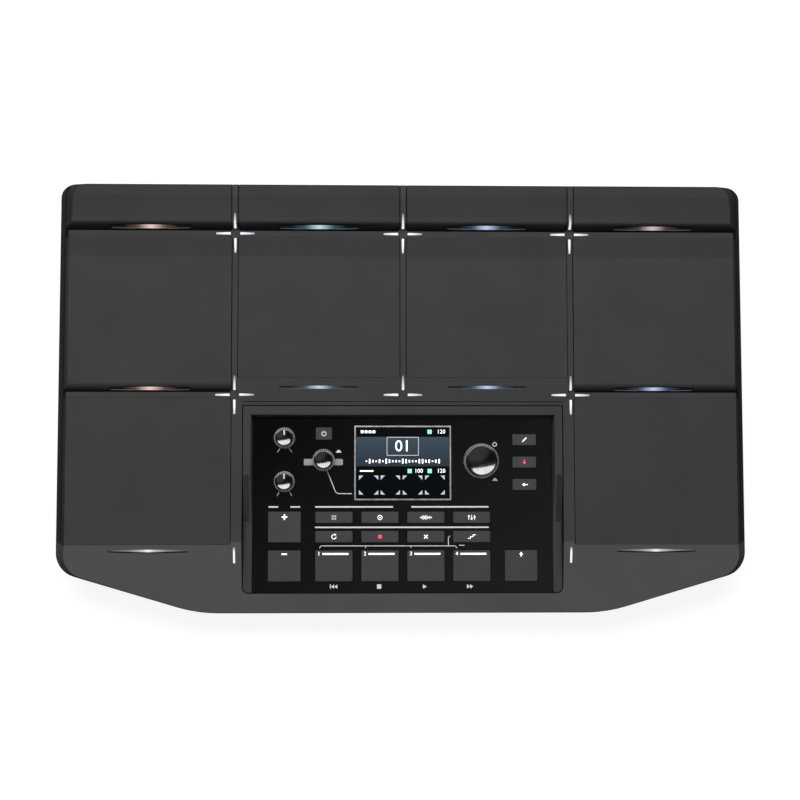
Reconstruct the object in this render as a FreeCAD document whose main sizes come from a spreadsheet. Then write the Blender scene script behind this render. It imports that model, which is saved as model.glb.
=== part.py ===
import FreeCAD, Part
import Sketcher
import math
import os
import re

# Sampling drum pad, millimetres.
# The deck is tilted, so most pieces are drawn in the deck's own frame: x across the
# instrument, y along the deck from its front edge to the rear, z square to the deck and
# counted from the parting plane of the two cases. Placement then tilts and lifts them.

SIZES = [
    # overall form
    ("body_width", 460.0, "across the side walls at the parting plane"),
    ("body_depth", 288.0, "along the deck, front edge to rear edge"),
    ("deck_angle", 5.0, "tilt of the deck, front low, degrees"),
    ("front_height", 27.0, "parting plane above the table at the front edge"),
    ("side_draft", 26.6, "lean of the upper side walls, degrees"),
    ("front_draft", 8.0, "lean of the upper front wall, degrees"),
    ("rear_draft", 11.0, "lean of the upper rear wall, degrees"),
    ("tub_draft", 5.0, "lean of the lower walls, degrees"),
    ("front_flat", 272.0, "straight part of the front edge"),
    ("front_slant", 16.5, "slant of the edge beside it, degrees"),
    ("front_blend_radius", 100.0, "where the straight and slanted front edges meet"),
    ("front_corner_radius", 17.0, "plan radius of the front corners"),
    ("rear_corner_radius", 10.0, "plan radius of the rear corners"),
    ("form_height", 30.0, "height of the blank that the upper forms are cut from"),
    ("wall_thickness", 3.0, "moulded walls"),
    ("apron_wall", 2.4, "wall between the apron and the lower pads"),
    ("apron_skin", 4.2, "apron above the hollow, at its upper end"),
    # pad layout
    ("column_pitch", 111.4, "rib to rib, across"),
    ("low_rib_place", 144.2, "front edge to the rib between the lower two rows"),
    ("high_rib_place", 251.8, "front edge to the rib in front of the bars"),
    ("rib_width", 3.6, "raised ribs between the pads"),
    ("pad_gap", 0.5, "between a pad and the ribs beside it"),
    ("end_gap", 0.15, "between a pad's flush ends and the case"),
    ("pad_corner_radius", 2.4, "plan radius of the pad corners"),
    ("crease_place", 45.4, "front edge to the crease in front of the lower pads"),
    ("ledge_front", 139.9, "front end of the ledge behind the control panel"),
    ("ledge_rear", 155.5, "rear end of that ledge"),
    ("ledge_front_height", 16.5, "height of the ledge at its front end"),
    ("seam_width", 0.7, "groove in front of the ledge"),
    ("seam_depth", 0.8, "groove in front of the ledge"),
    # heights above the parting plane
    ("lip_height", 5.0, "front edge of the apron"),
    ("low_pad_height", 16.5, "lower pads and the crease"),
    ("mid_pad_height", 18.0, "middle pads"),
    ("bar_flat_height", 23.2, "flat front part of the bars"),
    ("bar_crest_height", 24.7, "rear crest of the bars"),
    ("rib_drop", 1.0, "how far the ribs lie below the pads beside them"),
    ("roll_length", 4.7, "length of the roll-down at a pad's front"),
    ("mid_roll_drop", 4.5, "height lost in the roll-down of the middle pads"),
    ("bar_roll_drop", 7.2, "height lost in the roll-down of the bars"),
    ("roll_radius", 3.0, "rounding at the top of a roll-down"),
    ("crest_start", 268.6, "front edge to the foot of the bars' rear crest"),
    ("crest_place", 275.7, "front edge to the top of the crest"),
    ("crest_rear", 281.5, "front edge to the start of the rear roll"),
    ("crest_fall", 0.5, "height lost between the crest and the rear roll"),
    ("rear_roll_drop", 6.0, "rear end of the bars below their flat part"),
    # pads and what carries them
    ("rim_height", 10.5, "top of the case rim below the pad skirts"),
    ("pad_travel", 0.6, "how far a struck pad gives"),
    ("rest_clearance", 0.3, "left between a pressed piece and its stop"),
    ("rubber_thickness", 5.0, "top of a pad"),
    ("skirt_width", 4.0, "rim round the underside of a pad"),
    ("foam_gap", 0.8, "between a foam block and the skirt"),
    ("tray_top", 6.0, "top face of the pad tray"),
    ("tray_thickness", 2.0, "pad tray"),
    ("tray_gap", 0.7, "between the tray and the case"),
    ("sensor_radius", 13.5, "piezo disc"),
    ("sensor_thickness", 0.6, "piezo disc"),
    # lights
    ("arm_start", 3.2, "star centre to the inner end of an arm"),
    ("arm_end", 12.8, "star centre to the outer end of an arm"),
    ("arm_inner_width", 1.8, "arm at its inner end"),
    ("arm_outer_width", 1.0, "arm at its outer end"),
    ("arm_web_width", 1.2, "cross that joins the arms under the boss"),
    ("arm_web_height", 3.0, "cross that joins the arms under the boss"),
    ("light_gap", 0.1, "clearance round a light guide"),
    ("strip_length", 52.0, "lit slit at a pad's front"),
    ("strip_width", 2.2, "its width in the middle"),
    ("strip_end_width", 1.1, "its width at the ends"),
    ("strip_inset", 1.9, "pad front edge to the middle of its slit"),
    ("ledge_strip_place", 149.1, "front edge to the slits in the ledge"),
    ("apron_strip_place", 41.2, "front edge to the slits in the apron"),
    ("strip_depth", 7.0, "how deep a guide reaches below the surface"),
    ("strip_sink", 1.0, "top of a guide below the skin of a moving pad"),
    ("strip_side_gap", 0.3, "clearance round a guide inside a moving pad"),
    ("slot_rear", 44.0, "front edge to the rear end of the upright slots"),
    ("slot_length", 10.6, "upright slots beside the panel"),
    ("slot_width", 1.6, "upright slots"),
    ("slot_place", 111.0, "middle of the instrument to an upright slot"),
    # control panel and its frame
    ("opening_width", 212.4, "opening in the case for the panel and its frame"),
    ("opening_front", 13.2, "front edge to the front end of the opening"),
    ("opening_rear", 137.4, "front edge to the rear end of the opening"),
    ("opening_radius", 4.0, "front corners of the opening"),
    ("frame_gap", 0.6, "between the frame and the case"),
    ("frame_low_height", 9.3, "frame beside the front of the panel"),
    ("frame_drop_rear", 90.8, "rear end of the frame's S-shaped drop"),
    ("frame_drop_front", 58.0, "front end of that drop"),
    ("frame_drop_radius", 30.0, "rounding of the drop"),
    ("frame_flare", 1.4, "how much the frame's inner wall opens upwards"),
    ("frame_base", 3.1, "underside of the frame"),
    ("shelf_width", 5.0, "shelf in the case that carries the frame"),
    ("tub_blank_depth", 70.0, "height of the blank that the lower case is cut from"),
    ("shelf_height", 3.0, "top of that shelf"),
    ("panel_width", 198.4, "control panel"),
    ("panel_front", 13.6, "front edge to the front end of the panel"),
    ("panel_rear", 129.8, "front edge to the rear end of the panel"),
    ("panel_height", 8.5, "top face of the panel"),
    ("panel_thickness", 2.5, "control panel"),
    ("panel_gap", 0.1, "between the panel and what carries it"),
    ("panel_flange", 4.0, "frame under the panel's edges"),
    ("panel_corner_radius", 3.0, "front corners of the panel"),
    ("hole_gap", 0.25, "between a button and its hole"),
    ("display_width", 64.8, "window in the panel"),
    ("display_depth", 50.0, "window in the panel"),
    ("display_place", 99.5, "front edge to the middle of the display"),
    ("module_width", 75.0, "display module behind the panel"),
    ("module_depth", 52.0, "display module behind the panel"),
    ("glass_drop", 0.15, "display glass below the panel's face"),
    # buttons
    ("button_height", 10.2, "top of the buttons"),
    ("button_travel", 0.6, "how far a button goes down"),
    ("button_flange", 1.2, "collar that keeps a button in"),
    ("flange_thickness", 0.9, "that collar"),
    ("side_offset", 78.3, "middle to the plus, minus and shift buttons and the volume knobs"),
    ("square_width", 21.6, "plus, minus and shift buttons"),
    ("square_depth", 20.4, "plus, minus, shift and track buttons"),
    ("low_row_place", 31.4, "front edge to the track button row"),
    ("plus_row_place", 57.0, "front edge to the plus button"),
    ("track_pitch", 30.4, "button columns"),
    ("track_width", 24.7, "buttons in the columns"),
    ("mode_depth", 7.6, "mode and loop buttons"),
    ("mode_row_place", 63.3, "front edge to the mode buttons"),
    ("loop_row_place", 50.6, "front edge to the loop buttons"),
    ("menu_offset", 80.9, "middle to the menu buttons"),
    ("menu_width", 15.9, "menu buttons"),
    ("menu_depth", 7.5, "menu buttons"),
    ("menu_place", 99.9, "front edge to the middle menu button"),
    ("menu_pitch", 14.9, "menu buttons"),
    ("power_offset", 52.4, "middle to the power button"),
    ("power_width", 10.8, "power button"),
    ("power_depth", 8.4, "power button"),
    ("power_place", 118.8, "front edge to the power button"),
    # rotary controls
    ("main_knob_place", 115.7, "front edge to the main volume knob"),
    ("phones_knob_place", 86.9, "front edge to the phones volume knob"),
    ("metronome_offset", 52.5, "middle to the metronome knob"),
    ("metronome_place", 101.1, "front edge to the metronome knob"),
    ("value_offset", 51.6, "middle to the value knob"),
    ("value_place", 100.5, "front edge to the value knob"),
    ("knob_base_radius", 7.3, "volume knobs at the foot"),
    ("knob_top_radius", 6.1, "volume knobs at the top"),
    ("knob_height", 11.0, "volume and metronome knobs"),
    ("metronome_base_radius", 7.6, "metronome knob at the foot"),
    ("value_base_radius", 12.0, "value knob at the foot"),
    ("value_top_radius", 10.1, "value knob at the top"),
    ("value_height", 12.0, "value knob"),
    ("knob_lift", 0.8, "foot of a knob above the panel"),
    ("knob_dish", 0.6, "depth of the dished top"),
    ("knob_rim", 0.9, "rim round the dish"),
    ("knob_push", 0.5, "push travel of the two encoders"),
    ("shaft_radius", 3.0, "control shafts"),
    ("shaft_fit", 0.05, "radial clearance of a shaft"),
    ("shaft_reach", 9.0, "shaft above the panel"),
    ("bush_radius", 3.9, "threaded bush round a shaft"),
    ("bush_height", 1.5, "bush above the panel"),
    ("bush_room", 0.4, "between a bush and the knob round it"),
    ("housing_width", 12.0, "potentiometer and encoder housings"),
    ("housing_height", 5.4, "those housings"),
    ("rotor_radius", 4.4, "encoder rotor"),
    ("rotor_base", 1.2, "encoder rotor above the panel board"),
    ("rotor_height", 3.0, "encoder rotor"),
    ("shaft_foot", 1.4, "lower end of a shaft above the panel board"),
    ("bore_foot", 0.5, "closed end of a housing's bore above the panel board"),
    # boards
    ("board_thickness", 1.6, "circuit boards"),
    ("panel_board_width", 208.0, "board under the control panel"),
    ("panel_board_front", 16.0, "front edge to that board"),
    ("panel_board_rear", 131.0, "front edge to the rear of that board"),
    ("switch_width", 6.0, "tact switch"),
    ("switch_body_height", 2.6, "tact switch without its plunger"),
    ("plunger_width", 3.4, "tact switch plunger, square"),
    ("main_board_width", 344.0, "main board"),
    ("main_board_depth", 74.0, "main board"),
    ("main_board_height", 14.0, "underside of the main board above the table"),
    ("main_board_inset", 5.45, "rear face of the case to the rear edge of the main board"),
    ("post_width", 7.0, "square posts under the main board"),
    ("post_inset", 10.0, "posts from the main board's edges"),
    # lower case
    ("foot_height", 4.0, "rubber feet below the case"),
    ("foot_radius", 9.0, "rubber feet"),
    ("foot_recess", 1.0, "feet let into the case"),
    ("foot_offset", 185.0, "middle to a foot, across"),
    ("foot_front_inset", 48.45, "front face of the case to the front feet"),
    ("foot_rear_inset", 28.45, "rear face of the case to the rear feet"),
    ("stand_spacing", 100.0, "threaded inserts, across and along"),
    ("stand_place", -30.0, "middle of the insert pattern"),
    ("insert_radius", 3.5, "threaded insert"),
    ("thread_radius", 2.5, "M5 thread in the insert"),
    ("insert_length", 10.0, "threaded insert"),
    ("boss_wall", 2.5, "plastic round an insert or a screw"),
    ("screw_radius", 1.5, "case screws"),
    ("screw_head_radius", 2.8, "case screws"),
    ("screw_head_height", 2.0, "case screws"),
    ("screw_grip", 8.0, "plastic between the screw head and the parting plane"),
    ("screw_reach", 4.0, "thread above the parting plane"),
    ("screw_gap", 0.2, "clearance round a screw"),
    ("side_screw_front", 72.0, "front edge to the foremost side screws"),
    ("side_screw_rear", 205.0, "front edge to the rear side screws"),
    ("side_screw_inset", 8.5, "side wall to the side screws"),
    ("front_screw_offset", 70.0, "middle to the front screws"),
    ("front_screw_place", 8.0, "front edge to the front screws"),
    ("rear_screw_offset", 190.0, "middle to the rear screws"),
    ("rear_screw_inset", 7.0, "rear wall to the rear screws"),
    # rear connectors
    ("recess_width", 330.0, "opening in the rear wall"),
    ("recess_height", 22.0, "opening in the rear wall"),
    ("recess_centre", 24.6, "middle of that opening above the table"),
    ("plate_overlap", 4.0, "rear plate behind the wall round the opening"),
    ("plate_thickness", 1.5, "rear plates"),
    ("plate_gap", 0.1, "clearances of the rear plates"),
    ("plate_split", 10.0, "middle to the joint between the two rear plates"),
    ("nose_reach", 2.4, "socket noses beyond the rear plates"),
    ("jack_pitch", 25.0, "jack to jack"),
    ("jack_first", -140.0, "place of the first jack"),
    ("jack_nose_radius", 5.0, "jack nose"),
    ("jack_bore_radius", 3.2, "quarter inch plug"),
    ("jack_bore_depth", 28.0, "jack bore"),
    ("jack_width", 16.0, "jack body"),
    ("jack_body_depth", 30.0, "jack body"),
    ("jack_body_height", 13.6, "jack body"),
    ("din_place", 36.0, "place of the first DIN socket"),
    ("din_pitch", 26.0, "DIN sockets"),
    ("din_nose_radius", 8.0, "DIN nose"),
    ("din_bore_radius", 6.8, "DIN bore"),
    ("din_bore_depth", 9.0, "DIN bore"),
    ("din_width", 20.0, "DIN body"),
    ("din_body_height", 18.0, "DIN body"),
    ("din_body_depth", 14.0, "DIN body"),
    ("usb_host_place", 88.0, "place of the USB A socket"),
    ("usb_host_width", 14.4, "USB A shell"),
    ("usb_host_height", 7.0, "USB A shell"),
    ("usb_device_place", 110.0, "place of the USB B socket"),
    ("usb_device_width", 12.0, "USB B shell"),
    ("usb_device_height", 11.0, "USB B shell"),
    ("usb_depth", 16.0, "USB shells"),
    ("usb_shell", 0.9, "USB shell wall"),
    ("usb_cavity", 10.0, "depth of the USB openings"),
    ("inlet_place", 136.0, "place of the DC inlet"),
    ("inlet_width", 11.0, "DC inlet body"),
    ("inlet_depth", 14.0, "DC inlet body"),
    ("inlet_nose_radius", 4.4, "DC inlet nose"),
    ("inlet_bore_radius", 3.1, "DC inlet bore"),
    ("inlet_bore_depth", 9.5, "DC inlet bore"),
    ("inlet_pin_radius", 1.0, "DC inlet centre pin"),
]

COLUMNS = (-1.5, -0.5, 0.5, 1.5)
JACK_COUNT = 6

doc = FreeCAD.newDocument("drum_pad")
sheet = doc.addObject("Spreadsheet::Sheet", "Sizes")
for row, (alias, value, meaning) in enumerate(SIZES, 1):
    sheet.set("A%d" % row, alias)
    sheet.set("B%d" % row, str(value))
    sheet.set("C%d" % row, meaning)
    sheet.setAlias("B%d" % row, alias)
doc.recompute()

kept = []


def size(alias):
    return float(sheet.get(alias))


def formula(text):
    """An expression in which every word with an underscore is a cell of the sheet."""
    return re.sub(r"\b([a-z]+(?:_[a-z]+)+)\b", r"Sizes.\1", str(text))


def bind(thing, **sizes):
    for name, text in sizes.items():
        thing.setExpression(name, formula(text))
    return thing


def move(thing, x="0", y="0", z="0"):
    for axis, text in (("x", x), ("y", y), ("z", z)):
        thing.setExpression("Placement.Base." + axis, formula(text))
    return thing


def between(low, high):
    return "(%s) - (%s)" % (high, low)


def block(name, x, y, z):
    """A box between two places along each axis."""
    thing = doc.addObject("Part::Box", name)
    bind(thing, Length=between(*x), Width=between(*y), Height=between(*z))
    return move(thing, x[0], y[0], z[0])


def centred_block(name, x, y, width, depth, z):
    half_x, half_y = "(%s)/2" % width, "(%s)/2" % depth
    return block(
        name,
        ("%s - %s" % (x, half_x), "%s + %s" % (x, half_x)),
        ("%s - %s" % (y, half_y), "%s + %s" % (y, half_y)),
        z,
    )


def rod(name, x, y, z, radius):
    """An upright cylinder from z[0] to z[1]."""
    thing = doc.addObject("Part::Cylinder", name)
    bind(thing, Radius=radius, Height=between(*z))
    return move(thing, x, y, z[0])


def cone(name, x, y, z, low_radius, high_radius):
    thing = doc.addObject("Part::Cone", name)
    bind(thing, Radius1=low_radius, Radius2=high_radius, Height=between(*z))
    return move(thing, x, y, z[0])


def rearward_rod(name, x, z, y, radius):
    """A cylinder along y from y[0] to y[1]."""
    thing = doc.addObject("Part::Cylinder", name)
    thing.Placement.Rotation = FreeCAD.Rotation(FreeCAD.Vector(1, 0, 0), -90)
    bind(thing, Radius=radius, Height=between(*y))
    return move(thing, x, y[0], z)


def joined(name, *things):
    if len(things) == 1:
        return things[0]
    thing = doc.addObject("Part::MultiFuse", name)
    thing.Shapes = list(things)
    thing.Refine = True
    return thing


def shared(name, *things):
    thing = doc.addObject("Part::MultiCommon", name)
    thing.Shapes = list(things)
    return thing


def less(name, base, *tools):
    thing = doc.addObject("Part::Cut", name)
    thing.Base = base
    thing.Tool = joined(name + "_tools", *tools)
    return thing


def group(name, things):
    thing = doc.addObject("Part::Compound", name)
    thing.Links = list(things)
    return thing


def rounded(name, base, radius, chosen):
    """A fillet on the edges that chosen picks."""
    doc.recompute()
    thing = doc.addObject("Part::Fillet", name)
    thing.Base = base
    numbers = [i for i, edge in enumerate(base.Shape.Edges, 1) if chosen(edge)]
    thing.Edges = [(i, radius, radius) for i in numbers]
    return thing


def upright(edge):
    a, b = edge.firstVertex().Point, edge.lastVertex().Point
    return abs((b - a).z) > 0.9 * (b - a).Length > 0


def rising(edge):
    return abs((edge.lastVertex().Point - edge.firstVertex().Point).z) > 1.0


def straight_across(edge):
    """A straight edge along x."""
    a, b = edge.firstVertex().Point, edge.lastVertex().Point
    return abs((b - a).x) > 0.999 * (b - a).Length > 0


def near(edge, y, z, reach=0.3):
    middle = edge.valueAt((edge.FirstParameter + edge.LastParameter) / 2)
    return math.hypot(middle.y - y, middle.z - z) < reach


def corner_sketch(sketch, corners):
    """Closes a polygon through corners given as pairs of formulas."""
    count = len(corners)
    start = [
        FreeCAD.Vector(math.cos(math.tau * i / count), math.sin(math.tau * i / count), 0)
        for i in range(count)
    ]
    for i in range(count):
        sketch.addGeometry(Part.LineSegment(start[i], start[(i + 1) % count]))
    for i in range(count):
        sketch.addConstraint(Sketcher.Constraint("Coincident", i, 2, (i + 1) % count, 1))
    for i, pair in enumerate(corners):
        for kind, axis, text in zip(("DistanceX", "DistanceY"), (-2, -1), pair):
            if str(text) == "0":
                sketch.addConstraint(Sketcher.Constraint("PointOnObject", i, 1, axis))
                continue
            number = sketch.addConstraint(Sketcher.Constraint(kind, -1, 1, i, 1, 1.0))
            word = "%s%d" % ("across" if axis == -2 else "along", i)
            sketch.renameConstraint(number, word)
            sketch.setExpression("Constraints." + word, formula(text))
    return sketch


def section(name, corners):
    """A sketch in the plane x = 0: pairs are places along y and z."""
    sketch = doc.addObject("Sketcher::SketchObject", name)
    sketch.Placement = FreeCAD.Placement(
        FreeCAD.Vector(0, 0, 0), FreeCAD.Rotation(FreeCAD.Vector(1, 1, 1), 120)
    )
    return corner_sketch(sketch, corners)


def swept(name, sketch, x):
    """A section drawn out along x between two places."""
    thing = doc.addObject("Part::Extrusion", name)
    thing.Base = sketch
    thing.DirMode = "Custom"
    thing.Dir = FreeCAD.Vector(1, 0, 0)
    thing.Solid = True
    bind(thing, LengthFwd=between(*x))
    thing.setExpression("Placement.Base.x", formula(x[0]))
    return thing


def on_deck(thing):
    """Tilts a piece with the deck and lifts it to its height."""
    thing.Placement = FreeCAD.Placement(
        FreeCAD.Vector(0, 0, 0),
        FreeCAD.Rotation(FreeCAD.Vector(1, 0, 0), size("deck_angle")),
    )
    thing.setExpression("Placement.Rotation.Angle", formula("deck_angle"))
    return move(thing, "0", "-body_depth*cos(deck_angle)/2", "front_height")


def node(thing, label):
    thing.Label = label
    kept.append(thing)
    return thing


def deck_node(thing, label):
    return node(on_deck(thing), label)


# The outer form, whose walls lean by their own angles at the sides, front and rear


def drafted_form(name, wall, low, high, leans):
    """The plan drawn upwards from low to high with leaning walls, all of them a wall further in."""
    side, front, rear = leans
    thing = doc.addObject("Part::Wedge", name + "_block")
    thing.Placement.Rotation = FreeCAD.Rotation(FreeCAD.Vector(1, 0, 0), 90)
    bind(thing, Ymin=low, Ymax=high)
    for mark, height in (("", low), ("2", high)):
        insets = ["(%s/cos(%s) + (%s)*tan(%s))" % (wall, lean, height, lean) for lean in leans]
        bind(
            thing,
            **{
                "X%smin" % mark: "-(body_width/2 - %s)" % insets[0],
                "X%smax" % mark: "body_width/2 - %s" % insets[0],
                "Z%smin" % mark: "-(body_depth - %s)" % insets[2],
                "Z%smax" % mark: "-%s" % insets[1],
            }
        )
    slant, lean = size("front_slant"), size(front.strip("-")) * (-1 if "-" in front else 1)
    inset = 0 if wall == "0" else size(wall) / math.cos(math.radians(lean))
    flat = size("front_flat") / 2 - inset * math.tan(math.radians(slant / 2))
    reach, room = size("body_width") / 2, size("form_height") * 3
    cutters = []
    for sign, word in ((1, "right"), (-1, "left")):
        box = doc.addObject("Part::Box", "%s_slant_%s" % (name, word))
        box.Length, box.Width, box.Height = reach, room, 2 * room
        turn = FreeCAD.Rotation(FreeCAD.Vector(0, 0, 1), sign * slant)
        turn = turn.multiply(FreeCAD.Rotation(FreeCAD.Vector(1, 0, 0), -lean))
        start = -reach / 3 if sign > 0 else -reach * 2 / 3
        corner = FreeCAD.Vector(start, -room, -room)
        box.Placement = FreeCAD.Placement(FreeCAD.Vector(sign * flat, inset, 0), turn).multiply(
            FreeCAD.Placement(corner, FreeCAD.Rotation())
        )
        cutters.append(box)
    form = less(name + "_slanted", thing, *cutters)
    rear_start, side_start = size("body_depth") * 0.8, size("body_width") * 0.4
    thin = 0 if wall == "0" else size(wall)
    rounds = [
        ("rear_corner_radius", lambda p: p.y > rear_start),
        ("front_corner_radius", lambda p: p.y < rear_start and abs(p.x) > side_start),
        ("front_blend_radius", lambda p: abs(p.x) < side_start),
    ]
    for alias, chosen in rounds:
        form = rounded(
            name + "_" + alias,
            form,
            size(alias) - thin,
            lambda edge: rising(edge) and chosen(edge.CenterOfMass),
        )
    return form


UPPER_LEANS = ("side_draft", "front_draft", "rear_draft")
upper_form = drafted_form("upper_form", "0", "0", "form_height", UPPER_LEANS)
inner_form = drafted_form("inner_form", "wall_thickness", "-5", "form_height", UPPER_LEANS)

# Upper case: the drafted form under the skyline of the ribs, with the pad wells cut out


def rib_line(place):
    return "(%s)*column_pitch" % place


low_rear = "(low_rib_place - rib_width/2)"
mid_front = "(low_rib_place + rib_width/2)"
mid_rear = "(high_rib_place - rib_width/2)"
bar_front = "(high_rib_place + rib_width/2)"
mid_rib_height = "(mid_pad_height - rib_drop)"

skyline = section(
    "skyline",
    [
        ("0", "-1"),
        ("0", "lip_height"),
        ("crease_place", "low_pad_height"),
        (low_rear + " - rib_drop", "low_pad_height"),
        (low_rear, "low_pad_height - rib_drop"),
        (mid_front, "low_pad_height - rib_drop"),
        (mid_front + " + roll_length", mid_rib_height),
        (bar_front, mid_rib_height),
        (bar_front + " + roll_length", "bar_flat_height - rib_drop"),
        ("crest_start", "bar_flat_height - rib_drop"),
        ("crest_place", "bar_crest_height - rib_drop"),
        ("crest_rear", "bar_crest_height - crest_fall - rib_drop"),
        ("body_depth", "bar_flat_height - rear_roll_drop - rib_drop"),
        ("body_depth", "-1"),
    ],
)
ribbed = swept("ribbed", skyline, ("-body_width/2", "body_width/2"))
ledge_section = section(
    "ledge_section",
    [
        ("ledge_front", "tray_top"),
        ("ledge_front", "ledge_front_height"),
        ("ledge_rear", "mid_pad_height"),
        ("ledge_rear", "tray_top"),
    ],
)
ledge_side = "(column_pitch - rib_width/2)"
ledge = swept("ledge", ledge_section, ("-" + ledge_side, ledge_side))
envelope = joined("envelope", shared("ribbed_form", ribbed, upper_form), ledge)

# The room for boards under the deck, and the shelf that carries the panel frame

hollow_section = section(
    "hollow_section",
    [
        ("wall_thickness", "-1"),
        ("wall_thickness", "lip_height - wall_thickness"),
        ("crease_place - apron_wall", "low_pad_height - apron_skin"),
        ("crease_place - apron_wall", "tray_top"),
        ("body_depth", "tray_top"),
        ("body_depth", "-1"),
    ],
)
hollow = shared(
    "hollow",
    swept("hollow_sweep", hollow_section, ("-body_width/2", "body_width/2")),
    inner_form,
)
shelf_side = "(column_pitch + rib_width/2)"
shelf_rear = "(opening_rear + shelf_width)"
shelf_block = block(
    "shelf_block", ("-" + shelf_side, shelf_side), ("0", shelf_rear), ("0", "form_height")
)
hollow = less("hollow_round_shelf", hollow, shelf_block)
opening = rounded(
    "panel_opening",
    block(
        "panel_opening_block",
        ("-opening_width/2", "opening_width/2"),
        ("opening_front", "opening_rear"),
        ("shelf_height", "form_height"),
    ),
    size("opening_radius"),
    lambda edge: upright(edge) and edge.CenterOfMass.y < size("panel_rear"),
)
below_shelf = block(
    "below_shelf",
    ("-opening_width/2 + shelf_width", "opening_width/2 - shelf_width"),
    ("opening_front + shelf_width", "opening_rear - shelf_width"),
    ("-1", "shelf_height + 1"),
)
seam = block(
    "ledge_seam",
    ("-opening_width/2", "opening_width/2"),
    ("ledge_front - seam_width", "ledge_front"),
    ("ledge_front_height - seam_depth", "form_height"),
)

# Pad wells. Outside the outer pads the wall stops at the rim, and the pad laps over it.

wall_side = "(body_width/2 - rim_height*tan(side_draft) - wall_thickness)"
wall_rear = "(body_depth - rim_height*tan(rear_draft) - wall_thickness)"


def well_cut(name, column, y, rear_open):
    """The room of one pad: down to the tray inside, down to the rim outside."""
    inner = "(%s + rib_width/2)" % rib_line(column - 0.5)
    outer = "(%s - rib_width/2)" % rib_line(column + 0.5)
    low_x, high_x = inner, outer
    top_x = [inner, outer]
    if column > 1:
        high_x, top_x[1] = wall_side, "body_width"
    if column < -1:
        low_x, top_x[0] = "-" + wall_side, "-body_width"
    low_y, high_y = y
    top_y = (low_y, "body_depth + 10" if rear_open else high_y)
    deep = block(name + "_deep", (low_x, high_x), (low_y, high_y), ("tray_top - 1", "form_height"))
    wide = block(name + "_wide", tuple(top_x), top_y, ("rim_height", "form_height + 1"))
    return [deep, wide]


PAD_ROWS = {
    "low": ("crease_place", low_rear),
    "mid_outer": (mid_front, mid_rear),
    "mid_inner": ("ledge_rear", mid_rear),
    "bar": (bar_front, wall_rear),
}
wells = []
for number, column in enumerate(COLUMNS, 1):
    wells += well_cut("bar_well_%d" % number, column, PAD_ROWS["bar"], True)
    mid = "mid_outer" if abs(column) > 1 else "mid_inner"
    wells += well_cut("mid_well_%d" % number, column, PAD_ROWS[mid], False)
    if abs(column) > 1:
        wells += well_cut("low_well_%d" % number, column, PAD_ROWS["low"], False)


FLUSH_FRONTS = ("crease_place", "ledge_rear")


def rounded_corner(edge, side):
    """Upright edges nearer than side, all but those at a flush front and at the rear face."""
    middle = edge.CenterOfMass
    flush = any(abs(middle.y - size(place)) < 1 for place in FLUSH_FRONTS)
    inside = abs(middle.x) < side and middle.y < size("body_depth") - 1
    return upright(edge) and inside and not flush


def well_corner(edge):
    return rounded_corner(edge, size("body_width") * 0.6)


wells = [rounded(w.Name + "_round", w, size("pad_corner_radius"), well_corner) for w in wells]

# Screws: places in the deck's plane, the same for the bosses, the holes and the screws

side_screw = "(body_width/2 - side_screw_inset)"
SCREW_PLACES = [
    (sign + across, along)
    for across, along in (
        (side_screw, "side_screw_front"),
        (side_screw, "side_screw_rear"),
        ("front_screw_offset", "front_screw_place"),
        ("rear_screw_offset", "(body_depth - rear_screw_inset)"),
    )
    for sign in ("", "-")
]


def at_screws(name, z, radius, places=SCREW_PLACES):
    return [rod("%s_%d" % (name, i), x, y, z, radius) for i, (x, y) in enumerate(places, 1)]


BOSS_PLACES = [place for place in SCREW_PLACES if "front_screw_place" not in place]
upper_bosses = at_screws(
    "upper_boss", ("0", "tray_top - tray_gap"), "screw_radius + boss_wall", BOSS_PLACES
)
upper_screw_holes = at_screws(
    "upper_screw_hole", ("-1", "screw_reach + screw_gap"), "screw_radius + shaft_fit"
)

# Lights. A star's guide is a cross of four arms, each tapered and blunt at both ends.


def solid_feature(name, shape):
    thing = doc.addObject("Part::Feature", name)
    thing.Shape = shape
    return thing


def blunt_bar(first, last, first_half, last_half):
    """A plan along +x whose ends taper off over half their width."""
    outline = [
        (first, first_half / 2),
        (first + first_half / 2, first_half),
        (last - last_half / 2, last_half),
        (last, last_half / 2),
    ]
    outline += [(x, -y) for x, y in reversed(outline)]
    corners = [FreeCAD.Vector(x, y, 0) for x, y in outline]
    return Part.Face(Part.makePolygon(corners + corners[:1]))


def arm_face(gap):
    """The plan of an arm that points along +x from a star's centre."""
    inner, outer = size("arm_inner_width") / 2 + gap, size("arm_outer_width") / 2 + gap
    return blunt_bar(size("arm_start") - gap, size("arm_end") + gap, inner, outer)


def star_blank(place, turns, gap, foot):
    """Upright arms joined by a low cross, before their tops are trimmed to the case."""
    base = FreeCAD.Vector(place[0], place[1], foot)
    top = size("form_height")
    web_top = size("tray_top") + size("arm_web_height") + gap
    half = size("arm_web_width") / 2 + gap
    reach = size("arm_end") - size("arm_inner_width") + gap
    arms = []
    for turn in turns:
        arm = arm_face(gap).extrude(FreeCAD.Vector(0, 0, top - foot))
        web = Part.makeBox(reach, 2 * half, web_top - foot, FreeCAD.Vector(0, -half, 0))
        for piece in (arm, web):
            piece.rotate(FreeCAD.Vector(0, 0, 0), FreeCAD.Vector(0, 0, 1), turn)
            piece.translate(base)
            arms.append(piece)
    return arms[0].multiFuse(arms[1:]).removeSplitter()


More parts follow.
